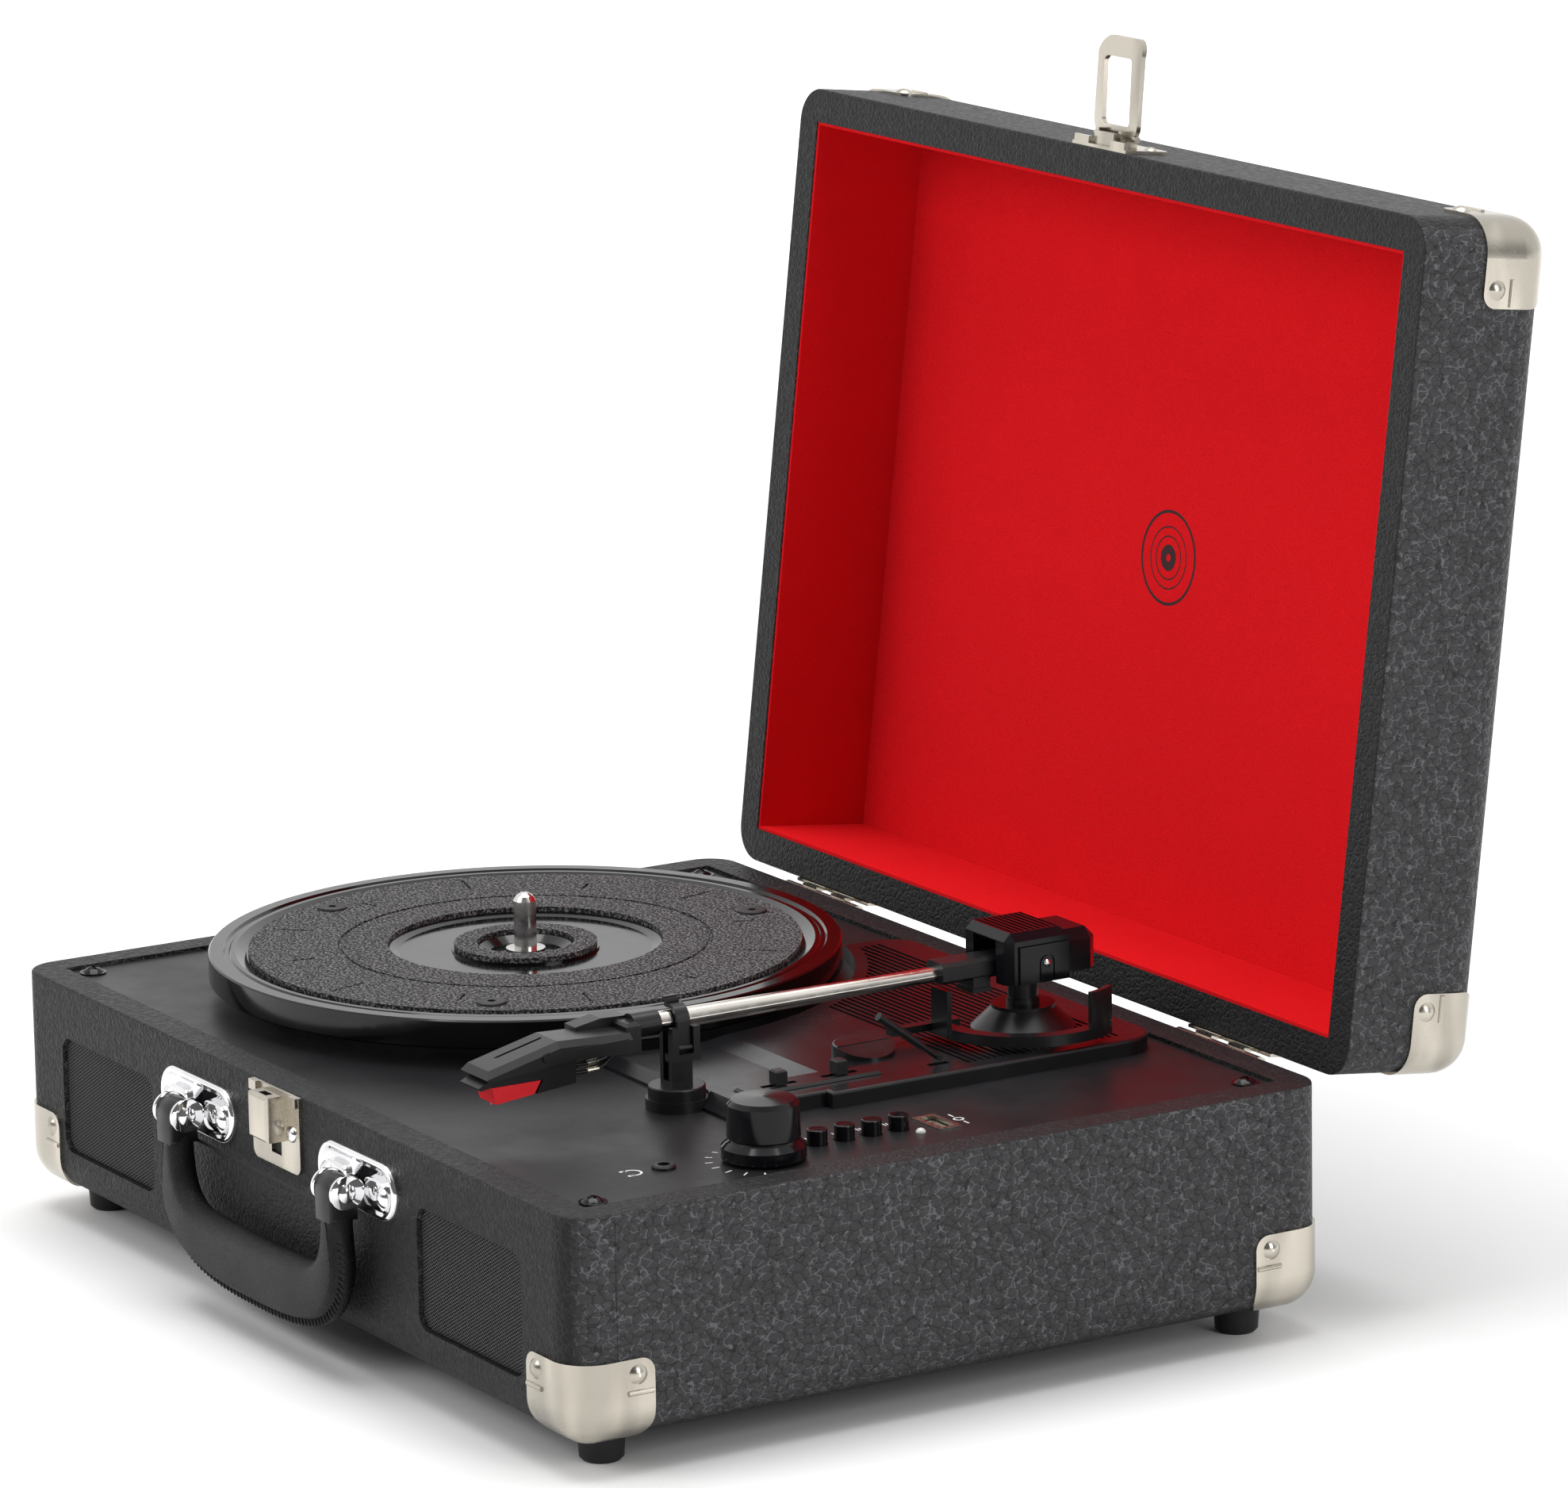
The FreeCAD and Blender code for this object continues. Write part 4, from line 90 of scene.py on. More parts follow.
class Shader:
    """A Principled material with short calls for the nodes it is built from."""

    def __init__(self, name, **sockets):
        self.material = bpy.data.materials.new(name)
        self.material.use_nodes = True
        self.tree = self.material.node_tree
        self.surface = self.tree.nodes["Principled BSDF"]
        self.where = self.add("ShaderNodeTexCoord").outputs["Object"]
        self.feed(self.surface, **sockets)

    def add(self, kind, **settings):
        node = self.tree.nodes.new(kind)
        for name, value in settings.items():
            setattr(node, name, value)
        return node

    def join(self, source, socket):
        self.tree.links.new(source, socket)

    def feed(self, node, **inputs):
        """Set or link a node's inputs: an underscore stands for a space, and i0 is the first input."""
        for name, value in inputs.items():
            numbered = name[0] == "i" and name[1:].isdigit()
            socket = node.inputs[int(name[1:]) if numbered else name.replace("_", " ")]
            if isinstance(value, bpy.types.NodeSocket):
                self.join(value, socket)
            else:
                socket.default_value = value
        return node

    def noise(self, scale, detail=3.0, rough=0.55, where=None):
        node = self.feed(self.add("ShaderNodeTexNoise"), Vector=where or self.where, Scale=scale,
                         Detail=detail, Roughness=rough)
        return node.outputs["Fac"]

    def cells(self, scale, feature="DISTANCE_TO_EDGE", where=None):
        node = self.feed(self.add("ShaderNodeTexVoronoi", feature=feature), Vector=where or self.where,
                         Scale=scale)
        return node.outputs["Distance"]

    def math(self, operation, a, b=0.0, c=0.0):
        return self.feed(self.add("ShaderNodeMath", operation=operation), i0=a, i1=b, i2=c).outputs[0]

    def ramp(self, value, low, high, to_low=0.0, to_high=1.0):
        """A smooth step of a value from low to high; low may be the larger, for a falling step."""
        node = self.add("ShaderNodeMapRange", interpolation_type="SMOOTHSTEP")
        return self.feed(node, Value=value, From_Min=low, From_Max=high, To_Min=to_low,
                         To_Max=to_high).outputs[0]

    def blend(self, factor, a, b):
        node = self.add("ShaderNodeMix", data_type="RGBA")
        for socket, value in ((node.inputs[0], factor), (node.inputs[6], a), (node.inputs[7], b)):
            if isinstance(value, bpy.types.NodeSocket):
                self.join(value, socket)
            elif isinstance(value, (int, float)):
                socket.default_value = value
            else:
                socket.default_value = (*value, 1.0)
        return node.outputs[2]

    def stretch(self, scale, where=None):
        """Coordinates scaled along each axis."""
        return self.feed(self.add("ShaderNodeMapping"), Vector=where or self.where, Scale=scale).outputs[0]

    def facing(self):
        """How squarely a surface faces left or right, from 0 to 1, in the object's own frame."""
        normal = self.add("ShaderNodeTexCoord").outputs["Normal"]
        parts = self.feed(self.add("ShaderNodeSeparateXYZ"), Vector=normal)
        return self.ramp(self.math("ABSOLUTE", parts.outputs[0]), 0.55, 0.85)

    def wobble(self, scale, amount):
        """Object coordinates pushed about by noise."""
        noise = self.feed(self.add("ShaderNodeTexNoise"), Vector=self.where, Scale=scale, Detail=2.0)
        centred = self.feed(self.add("ShaderNodeVectorMath", operation="SUBTRACT"),
                            i0=noise.outputs["Color"], i1=(0.5, 0.5, 0.5))
        scaled = self.feed(self.add("ShaderNodeVectorMath", operation="SCALE"), i0=centred.outputs[0],
                           Scale=amount)
        return self.feed(self.add("ShaderNodeVectorMath", operation="ADD"), i0=self.where,
                         i1=scaled.outputs[0]).outputs[0]

    def bump(self, height, depth):
        """Relief of a 0 to 1 height, depth in metres."""
        node = self.feed(self.add("ShaderNodeBump"), Height=height, Strength=1.0, Distance=depth)
        self.join(node.outputs[0], self.surface.inputs["Normal"])
        return self

    def colour(self, value):
        self.join(value, self.surface.inputs["Base Color"])
        return self

    def roughness(self, value):
        self.join(value, self.surface.inputs["Roughness"])


def shade(tone, factor):
    """A darker or lighter version of a colour."""
    return tuple(min(1.0, c * factor) for c in tone)


def dress(material, *nodes):
    """Give a material to CAD nodes or pieces."""
    for node in nodes:
        thing = NODES[node] if isinstance(node, str) else node
        thing.data.materials.clear()
        thing.data.materials.append(material)


# ---------------------------------------------------------------- mesh helpers

def angles(count, offset=0.0):
    """Even angles round a circle, in radians."""
    return [2 * math.pi * (k + offset) / count for k in range(count)]


def make_piece(name, verts, faces, material, body, sharp=35.0):
    """A smooth-shaded mesh in millimetres that rides one body."""
    mesh = bpy.data.meshes.new(name)
    mesh.from_pydata([tuple(c * MM for c in v) for v in verts], [], faces)
    build = bmesh.new()
    build.from_mesh(mesh)
    bmesh.ops.recalc_face_normals(build, faces=build.faces)
    build.to_mesh(mesh)
    build.free()
    mesh.polygons.foreach_set("use_smooth", [True] * len(mesh.polygons))
    mesh.set_sharp_from_angle(angle=math.radians(sharp))
    mesh.materials.append(material)
    piece = bpy.data.objects.new(name, mesh)
    bpy.context.scene.collection.objects.link(piece)
    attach(piece, body)
    return piece


def loft(loops, caps=True, wrap=False):
    """Faces that join loops with equal counts; caps close the end loops, and wrap joins last to first."""
    count = len(loops[0])
    verts = [v for loop in loops for v in loop]
    faces = []
    for k in range(len(loops) - (0 if wrap else 1)):
        here, after = k * count, (k + 1) % len(loops) * count
        for i in range(count):
            j = (i + 1) % count
            faces.append((here + i, here + j, after + j, after + i))
    if caps and not wrap:
        last = len(verts) - count
        faces += [tuple(range(count - 1, -1, -1)), tuple(range(last, last + count))]
    return verts, faces


def join_parts(parts):
    """Several (verts, faces) pairs as one."""
    verts, faces = [], []
    for some, more in parts:
        start = len(verts)
        verts += some
        faces += [tuple(i + start for i in face) for face in more]
    return verts, faces


def smooth_path(points, step, fine=24):
    """A closed Catmull-Rom curve through 2-D points, in even steps whose count is a multiple of four."""
    dense = []
    count = len(points)
    for i in range(count):
        p0, p1, p2, p3 = (Vector(points[(i + k) % count]) for k in (-1, 0, 1, 2))
        for j in range(fine):
            t = j / fine
            dense.append(0.5 * (2 * p1 + (p2 - p0) * t + (2 * p0 - 5 * p1 + 4 * p2 - p3) * t * t
                                + (3 * p1 - p0 - 3 * p2 + p3) * t ** 3))
    total = sum((dense[i] - dense[i - 1]).length for i in range(len(dense)))
    wanted = 4 * round(total / step / 4)
    found, gone, i = [], 0.0, 0
    for k in range(wanted):
        goal = total * k / wanted
        while True:
            piece = (dense[(i + 1) % len(dense)] - dense[i]).length
            if gone + piece >= goal or i == len(dense) - 1:
                break
            gone += piece
            i += 1
        found.append(dense[i].lerp(dense[(i + 1) % len(dense)], (goal - gone) / max(piece, 1e-9)))
    return found


def inward(path):
    """Unit normals of a closed anticlockwise path that point into it."""
    count = len(path)
    found = []
    for i in range(count):
        along = (path[(i + 1) % count] - path[i - 1]).normalized()
        found.append(Vector((-along.y, along.x)))
    return found


def tube(points, radius, sides=6):
    """A round bar along 3-D points."""
    loops = []
    for i, point in enumerate(points):
        ahead = Vector(points[min(i + 1, len(points) - 1)]) - Vector(points[max(i - 1, 0)])
        ahead.normalize()
        side = ahead.orthogonal().normalized() if i == 0 else (side - ahead * side.dot(ahead)).normalized()
        other = ahead.cross(side)
        loops.append([tuple(Vector(point) + radius * (math.cos(a) * side + math.sin(a) * other))
                      for a in angles(sides)])
    return loft(loops)


def button_head(centre, radius, rise, axis, rings=5, sides=28):
    """A shallow dome on a face; axis is the outward direction."""
    out = Vector(axis).normalized()
    side = out.orthogonal().normalized()
    other = out.cross(side)
    loops = []
    for k in range(rings + 1):
        angle = math.pi / 2 * k / rings
        r, h = radius * max(math.cos(angle), 0.02), rise * math.sin(angle)
        loops.append([tuple(Vector(centre) + out * h + r * (math.cos(a) * side + math.sin(a) * other))
                      for a in angles(sides)])
    return loft(loops)


def ring_flat(centre, inner, outer, height, start=0.0, sweep=360.0):
    """A flat ring, or part of one, in a level plane."""
    steps = max(8, int(sweep / 6))
    closed = sweep >= 360.0
    count = steps if closed else steps + 1
    verts = []
    for k in range(count):
        a = math.radians(start + sweep * k / steps)
        verts += [(centre[0] + r * math.cos(a), centre[1] + r * math.sin(a), height)
                  for r in (inner, outer)]
    faces = []
    for i in range(count if closed else count - 1):
        j = (i + 1) % count
        faces.append((2 * i, 2 * i + 1, 2 * j + 1, 2 * j))
    return verts, faces


def flat_bar(x, y, length, width, height, turn=0.0):
    """A flat rectangle in a level plane."""
    cos, sin = math.cos(math.radians(turn)), math.sin(math.radians(turn))
    a, b = length / 2, width / 2
    corners = ((-a, -b), (a, -b), (a, b), (-a, b))
    return [(x + u * cos - v * sin, y + u * sin + v * cos, height) for u, v in corners], [(0, 1, 2, 3)]


def shut_to_open(point):
    """Where a point of the shut lid is once the lid is open."""
    x, y, z = point[0], point[1] - HINGE_Y, point[2] - HINGE_Z
    return (x, HINGE_Y + y * math.cos(LID_OPEN) + z * math.sin(LID_OPEN),
            HINGE_Z - y * math.sin(LID_OPEN) + z * math.cos(LID_OPEN))


# ---------------------------------------------------------------- materials

def vinyl(name, pebble, depth, tone):
    """Grained vinyl with painted light: front faces are darkened with painted shade and left and right faces
    kept lighter, and on left and right faces a net of fine creases is painted, some lines dark as painted
    crease shade and some pale as painted highlights.
    """
    s = Shader(name, Specular_IOR_Level=0.13)
    side = s.facing()
    other = s.math("SUBTRACT", 1.0, side)
    where = s.stretch((1.0, 0.72, 1.0), where=s.wobble(300.0, 0.0011))
    coarse = s.cells(1.0 / pebble, where=where)
    small = s.cells(1.9 / pebble, where=where)
    broken = s.noise(520.0, 2.0, 0.6)

    # masks of the crease lines, along which painted crease shade and painted highlights are laid
    hair = s.math("MULTIPLY", s.ramp(small, 0.06, 0.015), s.ramp(broken, 0.54, 0.46))
    lines = s.math("MAXIMUM", s.ramp(coarse, 0.065, 0.02), s.math("MULTIPLY", hair, 0.55))
    even = s.blend(s.noise(30.0, 4.0), tone, shade(tone, 1.25))
    # painted shade: faces that don't face left or right get 0.42 of the tone, so the front reads darker and
    # the sides lighter, as the lights fall
    base = s.blend(side, shade(tone, 0.42), even)
    # painted crease shade (dark) and painted highlight (pale), picked at random along the lines
    crease_shade_and_highlight = s.blend(s.ramp(s.noise(430.0, 1.0), 0.47, 0.55), shade(tone, 0.25), shade(tone, 3.6))
    # the painted crease lines are strong on left and right faces and faint elsewhere
    s.colour(s.blend(s.math("MULTIPLY", lines, s.math("MULTIPLY_ADD", side, 0.62, 0.10)), base, crease_shade_and_highlight))
    s.roughness(s.ramp(broken, 0.2, 0.8, 0.36, 0.55))

    dome = s.ramp(coarse, 0.0, 0.24)
    fine = s.ramp(small, 0.0, 0.3)
    on_side = s.math("MULTIPLY_ADD", fine, 0.2, s.math("MULTIPLY", dome, 0.6))
    elsewhere = s.math("MULTIPLY_ADD", dome, 0.35, s.math("MULTIPLY", fine, 0.20))
    height = s.math("ADD", s.math("MULTIPLY", on_side, side), s.math("MULTIPLY", other, elsewhere))
    return s.bump(height, depth).material


def leather(name, tone):
    """Smooth black leather with a tight grain."""
    s = Shader(name, Specular_IOR_Level=0.18)
    pores = s.ramp(s.cells(1500.0, where=s.wobble(700.0, 0.0005)), 0.0, 0.3)
    worn = s.noise(45.0, 4.0)
    s.colour(s.blend(worn, tone, shade(tone, 1.4)))
    s.roughness(s.ramp(worn, 0.25, 0.8, 0.30, 0.44))
    return s.bump(pores, 0.00010).material


def felt(name, bright, dark):
    """Flocked lining: a soft nap with a fine speckle and a few darker fibres."""
    s = Shader(name, Roughness=1.0, Specular_IOR_Level=0.03)
    fleck = s.noise(2600.0, 2.0, 0.7)
    mottled = s.noise(42.0, 5.0, 0.6)
    specks = s.ramp(s.cells(180.0, "F1"), 0.07, 0.03)
    nap = s.blend(s.ramp(fleck, 0.33, 0.60), dark, bright)
    nap = s.blend(s.ramp(mottled, 0.25, 0.8, 0.0, 0.22), nap, shade(bright, 0.78))
    s.colour(s.blend(s.math("MULTIPLY", specks, 0.45), nap, shade(bright, 0.35)))
    return s.bump(fleck, 0.00010).material


def plated(name, tone, low, high, streak=(1, 1, 1), scale=900.0, reflection_band_shade=0.9):
    """Plated metal with a trace of polishing lines and soft upright bands of painted reflection;
    reflection_band_shade darkens the bands.
    """
    s = Shader(name, Metallic=1.0)
    lines = s.noise(scale, 2.0, 0.6, where=s.stretch(streak))
    bands = s.noise(75.0, 1.5, 0.5, where=s.stretch((1, 1, 0.18)))
    marks = s.noise(60.0, 5.0, 0.65)
    # painted reflection: soft upright bands of darker colour stand in for the bright and dim strips that
    # reflections draw on plated metal
    s.colour(s.blend(s.ramp(bands, 0.38, 0.62), shade(tone, reflection_band_shade), tone))
    worn = s.math("MULTIPLY_ADD", marks, 0.5, s.math("MULTIPLY", lines, 0.5))
    s.roughness(s.ramp(worn, 0.3, 0.7, low, high))
    return s.bump(lines, 0.000004).material


def plastic(name, tone, low, high, grain=0.000002, grain_scale=2500.0, coat=0.0, shine=0.5):
    """Moulded plastic or paint, between two roughnesses; grain is the depth of its texture in metres."""
    s = Shader(name, Specular_IOR_Level=shine, Coat_Weight=coat, Coat_Roughness=0.05)
    smear = s.noise(34.0, 5.0, 0.6)
    dots = s.noise(grain_scale, 2.0, 0.6)
    s.colour(s.blend(smear, tone, shade(tone, 1.25)))
    s.roughness(s.ramp(smear, 0.3, 0.75, low, high))
    return s.bump(dots, grain).material


def speckled(name):
    """The record mat: dark rubber-coated cloth with a dense pale speckle."""
    s = Shader(name, Roughness=0.85, Specular_IOR_Level=0.2)
    fuzz = s.noise(1150.0, 2.0, 0.7)
    worms = s.ramp(fuzz, 0.46, 0.60)
    s.colour(s.blend(worms, (0.012, 0.012, 0.013), (0.16, 0.16, 0.165)))
    return s.bump(worms, 0.00018).material


def lens(name, tone, rough=0.12):
    """Clear or coloured moulding, solid in tone."""
    s = Shader(name, Roughness=rough, Specular_IOR_Level=0.5)
    s.colour(s.blend(s.noise(400.0), tone, shade(tone, 1.15)))
    return s.bump(s.noise(900.0), 0.00001).material


def ink(name, tone):
    """Printed marks: flat, slightly uneven ink."""
    s = Shader(name, Roughness=0.6, Specular_IOR_Level=0.2)
    return s.colour(s.blend(s.noise(900.0), tone, shade(tone, 0.8))).material


VINYL = vinyl("vinyl_grain_painted_light", 0.0024, 0.00040, (0.038, 0.038, 0.040))
LEATHER = leather("handle_leather", (0.007, 0.007, 0.008))
LINING = felt("lining_felt", (0.70, 0.011, 0.015), (0.55, 0.007, 0.011))
NICKEL = plated("nickel_plate", (0.62, 0.575, 0.495), 0.18, 0.30, (1, 1, 9), reflection_band_shade=0.68)
CHROME = plated("chrome_plate", (0.88, 0.88, 0.89), 0.04, 0.10)
STEEL = plated("plain_steel", (0.66, 0.65, 0.63), 0.16, 0.26)
BRASS = plated("bearing_brass", (0.62, 0.48, 0.26), 0.25, 0.4)
ALLOY = plated("tube_alloy", (0.80, 0.76, 0.70), 0.12, 0.20, scale=300.0)
RUBBER = plastic("moulded_rubber", (0.010, 0.010, 0.011), 0.45, 0.6, 0.00004, shine=0.3)
DECK = plastic("deck_plastic", (0.009, 0.009, 0.010), 0.34, 0.46, 0.00006, 1500.0, shine=0.25)
GLOSS = plastic("gloss_plastic", (0.004, 0.004, 0.005), 0.08, 0.16, shine=0.25)
CONSOLE = plastic("console_plastic", (0.006, 0.006, 0.007), 0.20, 0.30, 0.00001, 3000.0, shine=0.45)
SATIN = plastic("satin_plastic", (0.007, 0.007, 0.008), 0.28, 0.40, 0.00002, 3000.0, shine=0.35)
PLATTER = plastic("platter_coat", (0.002, 0.002, 0.002), 0.10, 0.18, coat=0.1, shine=0.35)
MAT = speckled("mat_speckle")
CLOTH = plastic("speaker_cloth", (0.003, 0.003, 0.003), 0.8, 0.9, 0.00005, shine=0.1)
MESH = plastic("mesh_paint", (0.095, 0.095, 0.098), 0.35, 0.5, shine=0.3)
STYLUS = lens("stylus_red", (0.72, 0.012, 0.020), 0.3)
LAMP = lens("lamp_lens", (0.45, 0.46, 0.44))
BOARD = plastic("circuit_green", (0.01, 0.08, 0.03), 0.3, 0.5)
PRINT = ink("print_white", (0.62, 0.62, 0.62))
EMBLEM = ink("emblem_dark", (0.030, 0.004, 0.006))

FINISH = {
    VINYL: ("base_case", "lid_case"),
    LEATHER: ("handle_grip",),
    LINING: ("lid_lining",),
    NICKEL: ("base_corners", "lid_corners", "base_corner_rivets", "lid_corner_rivets", "latch_catch",
             "latch_plate", "latch_loop", "usb_socket", "hinge_leaves_base", "hinge_leaves_lid"),
    CHROME: ("handle_brackets", "handle_pins", "bracket_screws"),
    STEEL: ("spindle", "foot_screws", "hinge_pins", "motor", "potentiometer", "speaker_drivers"),
    BRASS: ("spindle_bush", "motor_pulley"),
    ALLOY: ("tonearm_tube",),
    RUBBER: ("feet", "platter_caps", "drive_belt"),
    DECK: ("deck_plate",),
    CONSOLE: ("console", "cue_platform"),
    GLOSS: ("tonearm_housing", "counterweight", "volume_knob", "button_1", "button_2", "button_3",
            "button_4", "deck_screws"),
    SATIN: ("tonearm_rest", "rest_clip", "tonearm_neck", "headshell", "cartridge", "cue_lever",
            "pivot_post", "power_inlet", "line_out_sockets", "headphone_socket", "speed_switch",
            "autostop_switch"),
    PLATTER: ("platter",),
    MAT: ("platter_mat",),
    CLOTH: ("speaker_grilles",),
    STYLUS: ("stylus",),
    LAMP: ("status_light",),
    BOARD: ("circuit_board",),
}
for finish, names in FINISH.items():
    dress(finish, *names)


# ---------------------------------------------------------------- handle

# The grip's outline, right half, from the top middle round to the bottom middle: x, and height
GRIP_OUTLINE = ((0, 11.0), (14, 11.2), (28, 12.3), (41, 15.2), (50.2, 20.4), (56.2, 27.8), (58.2, 36),
                (57.4, 45), (56.3, 53), (55.6, 59), (51.3, 62.2), (47.0, 59), (46.3, 53), (45.8, 46),
                (44.2, 40), (40.4, 35.6), (34, 33.5), (24, 32.8), (12, 32.6), (0, 32.5))
GRIP_STEP = 1.1         # between points of the outline
GRIP_HALF = 4.4         # half the grip's thickness
GRIP_ROUND = 4.1        # how far its rounding reaches in from the outline

# Half sections of the grip's edge as (inset, out from the middle plane): plain round, and pinched to a seam
ROUND_EDGE = tuple((GRIP_ROUND * (1 - math.cos(math.radians(a))), GRIP_HALF * math.sin(math.radians(a)))
                   for a in (0, 18, 36, 54, 72, 90))
SEAM_EDGE = ((0.0, 0.0), (0.1, 1.2), (0.7, 1.7), (2.2, 2.1), (3.0, 3.3), (GRIP_ROUND, GRIP_HALF))


def seam_share(point, normal):
    """How much of the seam's section an outline point has: 1 along the outer edge, 0 by the pins."""
    facing_out = normal.y > -0.2 and point.y < 42 + abs(point.x) * 0.36
    inner_leg = abs(point.x) < 47.5 and point.y > 30
    if not facing_out or inner_leg:
        return 0.0
    return min(1.0, max(0.0, (52 - point.y) / 8))


def make_grip():
    """The padded leather grip: round inside, pinched to a stitched seam along its outer edge."""
    half = GRIP_OUTLINE
    path = smooth_path(half + tuple((-x, z) for x, z in half[-2:0:-1]), GRIP_STEP)
    into = inward(path)
    shares = [seam_share(point, normal) for point, normal in zip(path, into)]
    rows = [(-1, k) for k in range(5, 0, -1)] + [(1, k) for k in range(6)]
    loops = []
    for face, k in rows:
        loop = []
        for point, normal, share in zip(path, into, shares):
            inset, out = (a * (1 - share) + b * share for a, b in zip(ROUND_EDGE[k], SEAM_EDGE[k]))
            spot = point + normal * inset
            loop.append((spot.x, HANDLE_Y + face * out, spot.y))
        loops.append(loop)
    verts, faces = loft(loops, caps=False)
    count = len(path)
    last = len(verts) - count
    for i in range(count // 4):     # flat faces, in strips that join opposite sides of the outline
        for start, flip in ((0, 1), (last, -1)):
            for a, b in ((i, count // 2 - i), (count // 2 + i, count - i)):
                quad = (a, a + 1, b - 1, b % count)
                faces.append(tuple(start + v for v in quad[::flip]))
    grip = make_piece("grip_leather", verts, faces, LEATHER, "grip", 50.0)
    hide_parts("handle_grip")
    make_stitches(path, into, shares)


def make_stitches(path, into, shares):
    """Slanting stitches on both faces of the grip's seam."""
    stitches = []
    for point, normal, share in list(zip(path, into, shares))[::2]:
        if share < 0.9:
            continue
        along = Vector((normal.y, -normal.x))
        for face in (-1, 1):
            spots = [(point + normal * 0.15, 1.45), (point + normal * 1.2 + along * 0.5, 2.05),
                     (point + normal * 2.3 + along * 1.0, 2.35)]
            stitches.append(tube([(at.x, HANDLE_Y + face * out, at.y) for at, out in spots], 0.24, 5))
    make_piece("grip_stitches", *join_parts(stitches), LEATHER, "grip")


def make_grip_caps():
    """Smooth moulded ends that hold the leather at the pins."""
    radius, foot = 4.75, 50.4
    section = [(-radius, foot), (-radius, HANDLE_Z)]
    section += [(-radius * math.cos(math.radians(a)), HANDLE_Z + radius * math.sin(math.radians(a)))
                for a in range(15, 180, 15)]
    section += [(radius, HANDLE_Z), (radius, foot)]
    rows = ((-4.95, 0.82), (-4.7, 0.94), (-4.2, 1.0), (4.2, 1.0), (4.7, 0.94), (4.95, 0.82))
    parts = [loft([[(side * HANDLE_X + x, HANDLE_Y + y * shrink, HANDLE_Z + (z - HANDLE_Z) * shrink)
                    for y, z in section] for x, shrink in rows])
             for side in (-1, 1)]
    make_piece("grip_ends", *join_parts(parts), SATIN, "grip", 40.0)


def dish_loop(cx, cz, inset, y):
    """A loop of a bracket's long round-ended dish, in the front plane."""
    straight, radius = BRACKET_HALF - BRACKET_ROUND, BRACKET_ROUND - inset
    return [(cx + math.copysign(straight, math.cos(a)) + radius * math.cos(a), y, cz + radius * math.sin(a))
            for a in angles(64, 0.5)]


def ear_loop(x, radius):
    """A loop of an ear round the handle's pin; towards the case it stretches and ends flat."""
    loop = []
    for a in angles(40):
        y, z = radius * math.cos(a), radius * math.sin(a)
        loop.append((x, HANDLE_Y + (y if y < 0 else min(PIN_OUT - 1.0, y * 1.24)), HANDLE_Z + z))
    return loop


def flange_loop(ear_x, hand, rise, shrink):
    """A loop of the squared flange at an ear's foot, on the side that hand says."""
    def swell(part, power):
        return math.copysign(abs(part) ** power, part)
    out, half_x, half_z = 6.0, 6.6 - shrink, 4.6 - shrink
    return [(ear_x + hand * (out + half_x * swell(math.cos(a), 0.5)), CASE_FRONT - rise,
             HANDLE_Z + half_z * swell(math.sin(a), 0.7)) for a in angles(24)]


def make_brackets():
    """Chrome dishes with a rolled rim, and the folded ears that hold the handle's pins."""
    rim = ((0.0, 0.0), (0.0, 0.9), (0.35, 1.7), (1.0, 2.1), (1.7, 2.0), (2.5, 1.3), (3.3, 0.9), (8.0, 0.9))
    ear_rows = ((-0.6, 4.9), (-0.45, 5.1), (0.45, 5.1), (0.6, 4.9))
    flange_rows = ((0.7, 0.0), (1.9, 0.0), (2.2, 0.35))
    ear_out, dish_up = 5.75, 1.3
    parts = []
    for side in (-1, 1):
        cx, cz = side * HANDLE_X, HANDLE_Z + dish_up
        parts.append(loft([dish_loop(cx, cz, inset, CASE_FRONT - rise) for inset, rise in rim]))
        for hand in (-1, 1):
            ear_x = cx + hand * ear_out
            parts.append(loft([ear_loop(ear_x + dx, radius) for dx, radius in ear_rows]))
            parts.append(loft([flange_loop(ear_x, hand, rise, shrink) for rise, shrink in flange_rows]))
    brackets = make_piece("bracket_dishes", *join_parts(parts), CHROME, "base", 40.0)
    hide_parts("handle_brackets")


# ---------------------------------------------------------------- latch

def make_loop():
    """The latch's formed loop: a frame with rolled edges and a gentle S bend."""
    pin_y = CASE_FRONT - 4.0
    length, half, bar = 31.0, 12.0, 4.4
    # Each row of the frame's section: inset from the side, near end, far end, corner radius, lift
    rows = ((0.0, -1.0, length, 5.5, -0.9), (0.0, -1.0, length, 5.5, 0.9),
            (0.5, -0.5, length - 0.5, 5.2, 1.25), (1.2, 0.2, length - 1.2, 4.8, 0.9),
            (1.9, 0.9, length - 2.4, 4.2, 0.35), (3.2, 2.2, length - 4.8, 3.0, 0.35),
            (bar - 0.5, 3.0, length - 5.9, 2.2, 0.9), (bar, 3.4, length - 6.4, 1.8, 0.9),
            (bar, 3.4, length - 6.4, 1.8, -0.9))

    def outline(inset, near_end, far_end, corner):
        """A rounded rectangle: across the loop, and along it from the pin."""
        wide, low, high = half - inset - corner, near_end + corner, far_end - corner
        return [(math.copysign(wide, math.cos(a)) + corner * math.cos(a),
                 (high if math.sin(a) > 0 else low) + corner * math.sin(a)) for a in angles(96, 0.5)]

    def bend(v):
        """The loop's rise above its plane, v along it: towards the case and back."""
        t = min(max(v / length, 0.0), 1.0)
        return -1.8 * math.sin(math.pi * t ** 1.6) + 0.8 * t * t

    loops = [[shut_to_open((x, pin_y - v, LATCH_PIN_Z + lift * 0.9 + bend(v)))
              for x, v in outline(inset, near_end, far_end, corner)]
             for inset, near_end, far_end, corner, lift in rows]
    verts, faces = loft(loops, wrap=True)
    loop = make_piece("latch_loop_formed", verts, faces, NICKEL, "latch", 50.0)
    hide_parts("latch_loop")


# ---------------------------------------------------------------- small details

